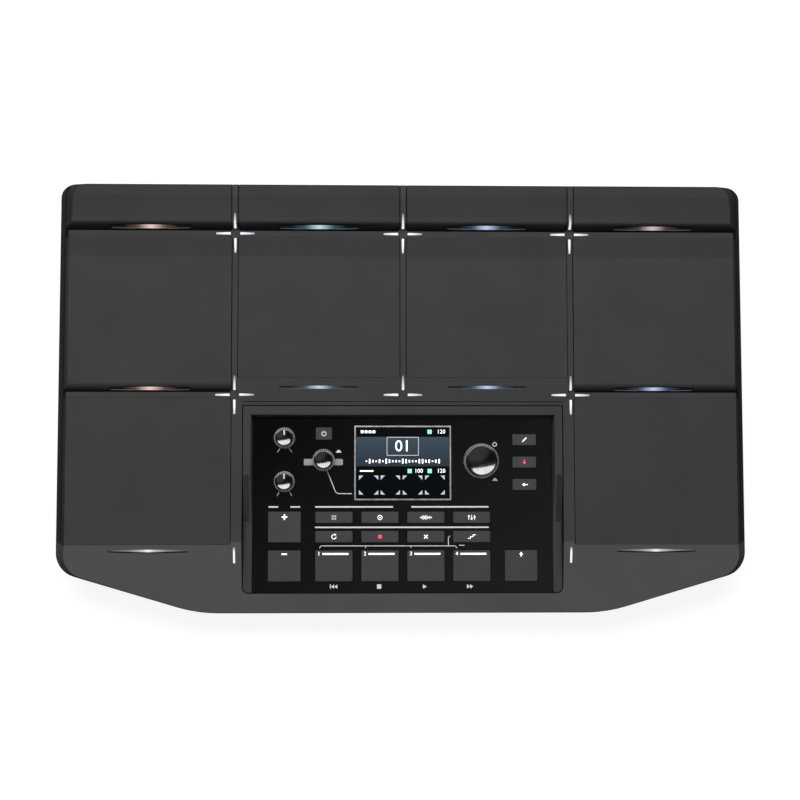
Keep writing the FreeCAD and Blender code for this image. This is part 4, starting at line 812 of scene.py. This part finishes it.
class DRUMPAD_OT_buttons(bpy.types.Operator):
    """Finishes the buttons and their plain symbols"""

    bl_idname = "drumpad.buttons"
    bl_label = "Buttons"

    def execute(self, context):
        rubber = surface(
            "key_rubber", colours().keys, 0.55, (0.05, 120.0), (0.5, 0.62, 300.0), (5200.0, 0.01),
            Specular_IOR_Level=0.15,
        )
        for node in [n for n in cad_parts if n.endswith("_button") or "_button_" in n]:
            cap = merged(node)
            low, high = deck_box(node)
            self.round_cap(cap, low.z, high.z)
            key = settle(node + "_cap", cap, rubber, node, replaced=(node,), sharp=50)
            key.modifiers.new("even_shading", "WEIGHTED_NORMAL").keep_sharp = True
        lamps = {
            "white": lit_mark("white_lamp", tuple(colours().lamp), 0.8),
            "red": lit_mark("red_lamp", tuple(colours().alert), 1.0),
            "ink": printed_ink("key_ink", tuple(colours().ink)),
            "faint": lit_mark("faint_lamp", (0.30, 0.28, 0.32), 1.0),
        }
        for node, word, lamp, symbol in KEY_MARKS:
            x, y, top = centre_of(node)
            name, levels = node + "_" + word, (top - SUNK, top + sizes().ink)
            drawn(name, SYMBOLS[symbol], levels, lamps[lamp], node, (x, y))
        return {"FINISHED"}

    @staticmethod
    def round_cap(cap, low, high):
        """Rounds the upright corners of the cap, then the edges of its top."""

        def corner(edge):
            a, b = (v.co for v in edge.verts)
            return abs(a.z - b.z) > 0.6 * (high - low) and max(a.z, b.z) > high - 0.1

        soften(cap, sizes().key_corner, corner, segments=4)
        soften(cap, sizes().key_edge, lambda edge: all(v.co.z > high - 0.05 for v in edge.verts))


# Radii of a knob at its foot and top, its height, the depth of its dish, and its pointer
KNOBS = {
    "main_volume": (6.9, 6.1, 11.0, 0.8, True),
    "phones_volume": (6.9, 6.1, 11.0, 0.8, True),
    "metronome": (7.3, 6.4, 11.0, 0.8, False),
    "value": (11.5, 10.5, 12.0, 1.35, False),
}
BIG_KNOB = 10.0
POINTER = [("bar", 0.0, 3.3, 0.95, 3.2)]
RIB_DEPTH, RIB_LEAN, RIB_SLOPE = 1.0, 0.15, 0.8
# Radii of the rooms under a knob for its shaft and its bush
SHAFT_ROOM, BUSH_ROOM = 3.06, 4.3


class DRUMPAD_OT_knobs(bpy.types.Operator):
    """Turns the four ridged knobs with their dished caps"""

    bl_idname = "drumpad.knobs"
    bl_label = "Knobs"

    def execute(self, context):
        side = surface(
            "knob_black", colours().knob, 0.45, (0.15, 300.0), (0.4, 0.5, 500.0), (4000.0, 0.01),
            Specular_IOR_Level=0.2,
        )
        polish = (0.1, 0.1, 0.104)
        cap = surface("knob_cap", polish, 0.12, (0.1, 200.0), (0.09, 0.15, 700.0), Metallic=1.0)
        # Painted highlight: the black ribs are given a pale colour
        rib = surface("knob_rib", colours().rib, 0.3, (0.2, 300.0), (0.25, 0.4, 500.0))
        ink = printed_ink("pointer_ink", tuple(colours().ink))
        for word, (base, tip, height, sag, pointed) in KNOBS.items():
            body = word + "_knob"
            x, y, _ = centre_of(body)
            foot = deck_box(body)[0].z
            top = foot + height
            skirt, dish, ribs = bmesh.new(), bmesh.new(), bmesh.new()
            lathe(skirt, x, y, self.skirt(foot, top, base, tip))
            settle(word + "_skirt", skirt, side, body, replaced=(body,), sharp=28)
            lathe(dish, x, y, self.dish(top, tip, sag))
            settle(word + "_dish", dish, cap, body, sharp=40)
            self.ribs(ribs, x, y, foot, top, base)
            settle(word + "_ribs", ribs, rib, body)
            if pointed:
                levels = (top - 0.9, top - 0.12)
                drawn(word + "_pointer", POINTER, levels, ink, body, (x, y))
        dress(metal("turned_shaft", (0.6, 0.6, 0.62), 0.3), *[w + "_shaft" for w in KNOBS])
        return {"FINISHED"}

    @staticmethod
    def skirt(foot, top, base, tip):
        """Section of a tapered skirt, open below for its bush and shaft."""
        return [
            (0.0, top - 2.7), (SHAFT_ROOM, top - 2.7), (SHAFT_ROOM, foot + 2.3),
            (BUSH_ROOM, foot + 2.3), (BUSH_ROOM, foot), (base - 0.8, foot),
            (base - 0.9, top - 1.3), (tip - 0.1, top - 0.7), (tip - 0.3, top - 0.4),
            (0.0, top - 2.2),
        ]

    @staticmethod
    def dish(top, tip, sag):
        """Section of a polished cap: a bright lip round a shallow hollow."""
        rim = tip - 0.95
        profile = [(0.0, top - 2.4), (rim + 0.5, top - 2.4), (rim + 0.55, top - 0.3)]
        profile += [(rim + 0.4, top - 0.05), (rim + 0.2, top), (rim, top - 0.15)]
        for i in range(1, 15):
            share = 1 - i / 14
            profile.append((rim * share, top - 0.15 - sag * (1 - share ** 2)))
        return profile

    @staticmethod
    def ribs(shape, x, y, foot, top, base):
        """Fine ribs that lean in with the skirt and slope off at the top."""
        count = sizes().ribs if base < BIG_KNOB else int(sizes().ribs * 1.5)
        low, high, inner = foot + 0.2, top - 1.1, base - RIB_DEPTH
        for i in range(count):
            made = bmesh.ops.create_cube(shape, size=1.0)["verts"]
            for vert in made:
                share, outer = vert.co.z + 0.5, vert.co.x > 0
                vert.co.x = base - RIB_LEAN * share if outer else inner
                vert.co.y *= sizes().rib_width
                drop = RIB_SLOPE * RIB_DEPTH * share if outer else 0.0
                vert.co.z = low + (high - low) * share - drop
            turn = Matrix.Rotation(math.tau * i / count, 4, "Z")
            bmesh.ops.transform(shape, matrix=Matrix.Translation((x, y, 0)) @ turn, verts=made)


PANEL_LINES = {
    "ink": [
        [(-88.9, 70.3), (-82.4, 70.3)],
        [(-74.5, 70.3), (-68.0, 70.3)],
        [(-58.1, 70.3), (-6.5, 70.3)],
        [(5.6, 70.3), (57.0, 70.3)],
        [(-58.1, 56.8), (57.0, 56.8)],
    ],
    "fine": [
        [(-55.1, 43.2), (-54.1, 44.6), (34.9, 44.5), (35.9, 43.0)],
        [(-24.7, 44.6), (-24.7, 43.2)],
        [(5.4, 44.6), (5.4, 43.2)],
        [(30.2, 44.6), (30.2, 50.0), (31.3, 51.0)],
        [(37.2, 44.9), (40.9, 44.9)],
        [(-50.3, 94.4), (-44.6, 80.2), (-43.0, 79.1), (-33.8, 79.1)],
        [(-81.4, 109.4), (-83.3, 106.4)],
        [(-75.6, 109.4), (-73.7, 106.5)],
        [(-82.0, 80.2), (-83.3, 77.5)],
        [(-74.8, 80.2), (-73.6, 77.5)],
    ],
}


TRANSPORT_ROW, HALF = 17.8, 1.45
# Back, stop, play and forward under the four track buttons
TRANSPORT = [("bar", -47.9, 0.0, 0.55, 2 * HALF)]
TRANSPORT += [("plate", (x, 0.0), (x + 2.0, HALF), (x + 2.0, -HALF)) for x in (-47.4, -45.3)]
TRANSPORT += [("bar", -15.7, 0.0, 2.9, 2.9), ("plate", (15.8, 0.0), (13.2, HALF), (13.2, -HALF))]
TRANSPORT += [("plate", (x + 2.0, 0.0), (x, HALF), (x, -HALF)) for x in (42.4, 44.5)]
# A ring and push signs beside the two pushed knobs
CONTROL_SYMBOLS = [("ring", 61.3, 111.8, 1.5, 1.0)]
for x, y in ((61.35, 87.9), (-42.6, 106.6)):
    CONTROL_SYMBOLS += [
        ("bar", x, y, 3.4, 0.6), ("ring", x, y + 0.3, 1.2, 0.1, 0.0, math.pi, 14)
    ]
FINE_LINE = 0.5


class DRUMPAD_OT_panel_marks(bpy.types.Operator):
    """Prints the plain lines, ticks and symbols on the control panel"""

    bl_idname = "drumpad.panel_marks"
    bl_label = "Panel marks"

    def execute(self, context):
        top = deck_box("control_panel")[1].z
        low, high = top - SUNK, top + sizes().ink
        white, pale = bmesh.new(), bmesh.new()
        for kind, share in (("ink", 1.0), ("fine", FINE_LINE)):
            for points in PANEL_LINES[kind]:
                stroke(white, points, sizes().line * share, low, high)
        draw(white, TRANSPORT, 0.0, TRANSPORT_ROW, low, high)
        draw(white, CONTROL_SYMBOLS, 0.0, 0.0, low, high)
        bar(pale, -52.75, 100.0, 25.9, 3.4, low, high)
        bar(pale, -52.75, 100.0, 25.1, 4.2, low, high + 0.01)
        ink = printed_ink("panel_ink", tuple(colours().ink))
        grey = printed_ink("panel_grey", tuple(colours().pale_ink))
        settle("panel_print", white, ink, "case")
        settle("panel_pale_print", pale, grey, "case")
        return {"FINISHED"}


DISPLAY_MIDDLE = 99.5
DISPLAY_CELLS = ((-29.1, -16.3), (-14.7, -1.9), (0.0, 13.0), (14.8, 27.9))
DISPLAY_CELL_ROWS = (78.5, 91.1)
CELL_CORNER = 2.9
DISPLAY_NUMBERS = [("numeral", 0.0, 110.4, "01", 7.6)]
for i in range(23):
    tall = 1.0 + 2.6 * abs(math.sin(i * 1.9) * math.cos(i * 0.55))
    DISPLAY_NUMBERS.append(("bar", i * 2.2 - 24.2, 100.6, 1.0, tall))
for x, y, text in ((25.6, 120.2, "120"), (10.6, 94.1, "100"), (25.6, 94.1, "120")):
    DISPLAY_NUMBERS.append(("numeral", x, y, text, 2.7))
DISPLAY_NUMBERS += [("bar", i * 2.6 - 27.0, 120.2, 1.8, 1.8) for i in range(4)]
DISPLAY_NUMBERS.append(("bar", -24.0, 94.1, 9.0, 0.9))
DISPLAY_RIM, DISPLAY_LINES = [], []
for side in (-1, 1):
    DISPLAY_RIM += [
        ("bar", 0.0, DISPLAY_MIDDLE + side * 24.3, 64.2, 0.9),
        ("bar", side * 31.7, DISPLAY_MIDDLE, 0.9, 48.0),
    ]
    DISPLAY_LINES += [
        ("bar", 0.0, 110.5 + side * 6.0, 20.9, 0.45), ("bar", side * 10.45, 110.5, 0.45, 12.4)
    ]
DISPLAY_LINES += [
    ("plate", (x, y), (x + CELL_CORNER * dx, y), (x, y + CELL_CORNER * dy))
    for left, right in DISPLAY_CELLS
    for x, dx in ((left, 1), (right, -1))
    for y, dy in zip(DISPLAY_CELL_ROWS, (1, -1))
]
DISPLAY_TILES = [("bar", x, y, 2.8, 2.8) for x, y in ((17.9, 120.2), (4.6, 94.1), (17.9, 94.1))]
# Piece, its lamp with colour and strength, and its marks
DISPLAY_MARKS = (
    ("display_numbers", ("display_white", (0.95, 0.98, 1.0), 0.9), DISPLAY_NUMBERS),
    ("display_lines", ("display_grey", (0.30, 0.33, 0.38), 1.0), DISPLAY_LINES),
    ("display_tiles", ("display_green", (0.22, 0.62, 0.48), 0.9), DISPLAY_TILES),
)
NIGHT = (
    "display_night", (0.001, 0.001, 0.0015), (0.15, 0.1), 76.0, 47.0,
    (0.0012, 0.0016, 0.0018), (0.002, 0.0032, 0.0042),
)
SLATE = (
    "display_slate", (0.004, 0.005, 0.007), (0.2, 0.2), 97.0, 20.0,
    (0.022, 0.030, 0.042), (0.044, 0.070, 0.092),
)
# Piece, its one mark, its glow and how far it stands up
DISPLAY_FIELDS = (
    ("display_sky", ("bar", 0.0, DISPLAY_MIDDLE, 61.6, 46.8), NIGHT, 0.02),
    ("display_band", ("bar", 0.0, 107.0, 61.6, 19.6), SLATE, 0.04),
)
DISPLAY_SUNK = 0.05


class DRUMPAD_OT_display(bpy.types.Operator):
    """Sets a plain number, a level row and four cells on the display"""

    bl_idname = "drumpad.display"
    bl_label = "Display"

    def execute(self, context):
        black = surface("display_black", (0.008, 0.009, 0.012), 0.12, (0.2, 50.0), (0.1, 0.16))
        dress(black, "display_module")
        face = deck_box("display_module")[1].z
        foot = face - DISPLAY_SUNK
        silver = metal("rim_silver", (0.36, 0.36, 0.37), 0.35)
        levels = (foot, face + 0.12)
        drawn("display_rim", DISPLAY_RIM, levels, silver, "case")
        for name, field, glow, rise in DISPLAY_FIELDS:
            finish, levels = screen_glow(*glow), (foot, face + rise)
            drawn(name, [field], levels, finish, "case")
        for name, lamp, marks in DISPLAY_MARKS:
            drawn(name, marks, (face, face + 0.07), lit_mark(*lamp), "case")
        return {"FINISHED"}


SOCKET_AXIS = 24.6
NOSE_END = 142.75
SILL_PLACE = (139.6, 11.0, 17.1)
SILL_SIZE = (337.0, 1.5)
PLATE_REAR = 140.35
JACKS = [-140.0 + 25.0 * i for i in range(6)]
DIN_SOCKETS = (36.0, 62.0)
PIN_CIRCLE = 4.9
NUT_OUTER, NUT_INNER, NUT_HEIGHT = 6.9, 5.15, 1.5
TONGUES = [("bar", 88.0, -1.3, 11.2, 1.8), ("bar", 110.0, 0.0, 5.4, 3.2)]
SOCKET_MARKS = []
for left, right in zip(JACKS[::2], JACKS[1::2]):
    SOCKET_MARKS += [
        ("ring", left, -8.9, 0.9, 0.5), ("bar", left + 12.5, -8.9, 14.0, 0.35),
        ("ring", right, -8.9, 0.9, 0.5),
    ]
SOCKET_MARKS += [("ring", x, -9.7, 0.9, 0.5, 0.0, math.pi) for x in DIN_SOCKETS]


class DRUMPAD_OT_rear_sockets(bpy.types.Operator):
    """Finishes the rear plate, and adds nuts, contacts and plain marks to the sockets"""

    bl_idname = "drumpad.rear_sockets"
    bl_label = "Rear sockets"

    def execute(self, context):
        black = moulded("socket_black", (0.018, 0.018, 0.02), 0.45)
        zinc = metal("socket_zinc", (0.55, 0.55, 0.57), 0.3)
        gilt = metal("contact_gilt", (0.83, 0.62, 0.27), 0.3)
        plate = moulded("plate_paint", (0.03, 0.03, 0.033), 0.5, 2600.0, 0.03)
        ink = printed_ink("rear_ink", tuple(colours().ink))
        dress(plate, "jack_plate", "port_plate")
        dress(black, "jack_sockets", "port_sockets")
        sill = [("bar", 0.0, SILL_PLACE[0], *SILL_SIZE)]
        drawn("rear_sill", sill, SILL_PLACE[1:], plate, "case", place=LEVEL)
        rearward = Matrix.Rotation(math.radians(-90), 4, "X")
        place = LEVEL @ Matrix.Translation((0, 0, SOCKET_AXIS)) @ rearward
        nuts = bmesh.new()
        for x in JACKS:
            self.nut(nuts, x, NUT_OUTER, NUT_INNER, PLATE_REAR, PLATE_REAR + NUT_HEIGHT)
        settle("jack_nuts", nuts, zinc, "case", place=place)
        pins = [
            ("disc", x + PIN_CIRCLE * math.cos(turn), PIN_CIRCLE * math.sin(turn), 0.75, 16)
            for x in DIN_SOCKETS
            for turn in map(math.radians, (0, 45, 90, 135, 180))
        ]
        levels = (NOSE_END - 8.9, NOSE_END - 7.6)
        drawn("din_contacts", pins, levels, gilt, "case", place=place)
        levels = (NOSE_END - 9.9, NOSE_END - 1.0)
        drawn("usb_tongues", TONGUES, levels, black, "case", place=place)
        levels = (PLATE_REAR - SUNK, PLATE_REAR + sizes().ink)
        drawn("socket_marks", SOCKET_MARKS, levels, ink, "case", place=place)
        return {"FINISHED"}

    @staticmethod
    def nut(shape, x, outer, inner, low, high):
        """A six-sided ring nut round a nose."""
        place = Matrix.Translation((x, 0.0, low))
        bmesh.ops.create_circle(shape, segments=24, radius=inner, matrix=place)
        rim = bmesh.ops.create_circle(shape, segments=6, radius=outer, matrix=place)["verts"]
        sides = list({edge for vert in rim for edge in vert.link_edges})
        bmesh.ops.subdivide_edges(shape, edges=sides, cuts=3)
        loops = [e for e in shape.edges if not e.link_faces]
        face = bmesh.ops.bridge_loops(shape, edges=loops)["faces"]
        made = bmesh.ops.extrude_face_region(shape, geom=face)["geom"]
        raised = [v for v in made if isinstance(v, bmesh.types.BMVert)]
        bmesh.ops.translate(shape, vec=(0, 0, high - low), verts=raised)
        bmesh.ops.recalc_face_normals(shape, faces=shape.faces)


class DRUMPAD_OT_underside(bpy.types.Operator):
    """Finishes feet, screws and threaded inserts"""

    bl_idname = "drumpad.underside"
    bl_label = "Underside"

    def execute(self, context):
        dress(moulded("foot_rubber", (0.02, 0.02, 0.021), 0.8, 900.0, 0.05), "rubber_feet")
        dress(metal("black_steel", (0.09, 0.09, 0.095), 0.4), "case_screws")
        dress(metal("insert_brass", (0.72, 0.52, 0.22), 0.32, 0.02), "stand_inserts")
        return {"FINISHED"}


class DRUMPAD_OT_inner_parts(bpy.types.Operator):
    """Finishes the boards, the tray, the foams and the controls inside"""

    bl_idname = "drumpad.inner_parts"
    bl_label = "Inner parts"

    def execute(self, context):
        dress(circuit_board(), "main_board", "panel_board")
        dress(moulded("switch_black", (0.03, 0.03, 0.03), 0.5), "tact_switches")
        dress(moulded("rotor_white", (0.6, 0.6, 0.58), 0.5), "metronome_rotor", "value_rotor")
        dress(metal("housing_steel", (0.5, 0.5, 0.52), 0.35), "rotary_housings")
        dress(moulded("tray_paint", (0.08, 0.08, 0.085), 0.45, 700.0, 0.03), "pad_tray")
        dress(moulded("foam_grey", (0.09, 0.09, 0.092), 0.95, 1400.0, 0.35), "pad_foams")
        dress(metal("sensor_brass", (0.78, 0.6, 0.3), 0.3), "piezo_sensors")
        return {"FINISHED"}


FLOOR_GLOW = 0.89
PALE_GREY = (0.2, 0.2, 0.2, 1.0)
COOL_WHITE = (0.96, 0.975, 1.0, 1.0)
# Towards the room's broad light; then nearness to it and its strength, from and to
LIGHT_WAY = (0.30, -0.45, 0.84)
LIGHT_SPREAD = (0.83, 0.92, 0.045, 0.33)
# Height of the view and the walls' strength there, from and to
WALL_SPREAD = (0.28, 0.4, 0.9, 0.0)
# Name, place, size and power in metres and watts
LAMPS = (
    ("rear_softbox", (-0.2, 1.0, 1.25), (1.4, 0.9), 9.3),
    ("top_card", (-0.07, 0.44, 1.4), (1.5, 0.45), 16.3),
    ("front_fill", (-0.6, -1.2, 0.9), (0.8, 0.8), 1.2),
    ("front_kicker", (0.1, -1.6, 0.35), (0.5, 0.1), 0.7),
)
LAMP_TARGET = Vector((0.0, 0.0, 0.04))
CAMERA_PLACE = (-0.03262, -0.18021, 1.09616)
CAMERA_TURN = (0.1672, -0.0288, -0.00352)
CAMERA_LENS = 71.771


def seen_rays(tree):
    """One for camera, glossy and transmission rays, which see the pale background."""
    path = add_node(tree, "ShaderNodeLightPath").outputs
    seen = path["Is Camera Ray"]
    for ray in ("Is Glossy Ray", "Is Transmission Ray"):
        seen = calculate(tree, "MAXIMUM", seen, path[ray])
    return seen


def map_range(tree, value, limits):
    inputs = dict(zip(("From Min", "From Max", "To Min", "To Max"), limits), Value=value)
    return add_node(tree, "ShaderNodeMapRange", inputs).outputs["Result"]


class DRUMPAD_OT_stage(bpy.types.Operator):
    """Sets the pale floor, the studio lights and the camera of the photograph"""

    bl_idname = "drumpad.stage"
    bl_label = "Stage"

    def execute(self, context):
        scene = context.scene
        scene.view_settings.view_transform = "Standard"
        self.floor()
        self.world(scene)
        for lamp in LAMPS:
            self.lamp(*lamp)
        camera = bpy.data.cameras.new("photo_camera")
        camera.lens = CAMERA_LENS
        camera.sensor_width = 36.0
        camera.clip_start, camera.clip_end = 0.02, 60.0
        viewer = bpy.data.objects.new("photo_camera", camera)
        viewer.location = CAMERA_PLACE
        viewer.rotation_euler = Euler(CAMERA_TURN, "XYZ")
        scene.collection.objects.link(viewer)
        scene.camera = viewer
        return {"FINISHED"}

    @staticmethod
    def floor():
        """A floor that shows white to the eye, with the object's soft shadow on it."""
        shape = bmesh.new()
        bmesh.ops.create_grid(shape, x_segments=1, y_segments=1, size=30.0)
        mesh = bpy.data.meshes.new("floor")
        shape.to_mesh(mesh)
        shape.free()
        floor = bpy.data.objects.new("floor", mesh)
        bpy.context.scene.collection.objects.link(floor)
        material = bpy.data.materials.new("floor_white")
        material.use_nodes = True
        tree = material.node_tree
        tree.nodes.clear()
        plain = add_node(tree, "ShaderNodeBsdfDiffuse", {"Color": PALE_GREY})
        glow = calculate(tree, "MULTIPLY", seen_rays(tree), FLOOR_GLOW)
        white = add_node(tree, "ShaderNodeEmission", {"Strength": glow})
        shaders = {0: plain.outputs["BSDF"], 1: white.outputs["Emission"]}
        both = add_node(tree, "ShaderNodeAddShader", shaders).outputs["Shader"]
        add_node(tree, "ShaderNodeOutputMaterial", {"Surface": both})
        mesh.materials.append(material)

    @staticmethod
    def world(scene):
        """A dim room with pale walls and one broad soft light high up to the right in front."""
        world = bpy.data.worlds.new("studio")
        scene.world = world
        world.use_nodes = True
        tree = world.node_tree
        background = tree.nodes["Background"]
        background.inputs["Color"].default_value = COOL_WHITE
        way = add_node(tree, "ShaderNodeTexCoord").outputs["Generated"]
        ways = {0: way, 1: LIGHT_WAY}
        near = add_node(tree, "ShaderNodeVectorMath", ways, operation="DOT_PRODUCT")
        height = add_node(tree, "ShaderNodeSeparateXYZ", {"Vector": way}).outputs["Z"]
        light = map_range(tree, near.outputs["Value"], LIGHT_SPREAD)
        walls = calculate(tree, "MULTIPLY", map_range(tree, height, WALL_SPREAD), seen_rays(tree))
        total = calculate(tree, "MAXIMUM", light, walls)
        tree.links.new(total, background.inputs["Strength"])

    @staticmethod
    def lamp(name, place, size, power):
        light = bpy.data.lights.new(name, "AREA")
        light.shape = "RECTANGLE"
        light.size, light.size_y = size
        light.energy = power
        lamp = bpy.data.objects.new(name, light)
        lamp.location = place
        lamp.rotation_euler = (LAMP_TARGET - Vector(place)).to_track_quat("-Z", "Y").to_euler()
        bpy.context.scene.collection.objects.link(lamp)


OPERATORS = (
    DRUMPAD_OT_pads,
    DRUMPAD_OT_case,
    DRUMPAD_OT_lights,
    DRUMPAD_OT_buttons,
    DRUMPAD_OT_knobs,
    DRUMPAD_OT_panel_marks,
    DRUMPAD_OT_display,
    DRUMPAD_OT_rear_sockets,
    DRUMPAD_OT_underside,
    DRUMPAD_OT_inner_parts,
    DRUMPAD_OT_stage,
)


class DRUMPAD_PT_panel(bpy.types.Panel):
    """Lists the steps that dress the drum pad"""

    bl_idname = "DRUMPAD_PT_panel"
    bl_label = "Drum pad"
    bl_space_type = "VIEW_3D"
    bl_region_type = "UI"
    bl_category = "Drum pad"

    def draw(self, context):
        for group in (context.scene.drum_pad_sizes, context.scene.drum_pad_colours):
            for name in group.bl_rna.properties.keys():
                if name not in ("rna_type", "name"):
                    self.layout.prop(group, name)
        for operator in OPERATORS:
            self.layout.operator(operator.bl_idname)


CLASSES = (DrumPadSizes, DrumPadColours) + OPERATORS + (DRUMPAD_PT_panel,)


def register():
    for cls in CLASSES:
        bpy.utils.register_class(cls)
    bpy.types.Scene.drum_pad_sizes = PointerProperty(type=DrumPadSizes)
    bpy.types.Scene.drum_pad_colours = PointerProperty(type=DrumPadColours)


def unregister():
    del bpy.types.Scene.drum_pad_colours
    del bpy.types.Scene.drum_pad_sizes
    for cls in reversed(CLASSES):
        bpy.utils.unregister_class(cls)


def main():
    register()
    for operator in OPERATORS:
        category, name = operator.bl_idname.split(".")
        getattr(getattr(bpy.ops, category), name)()


if __name__ == "__main__":
    main()
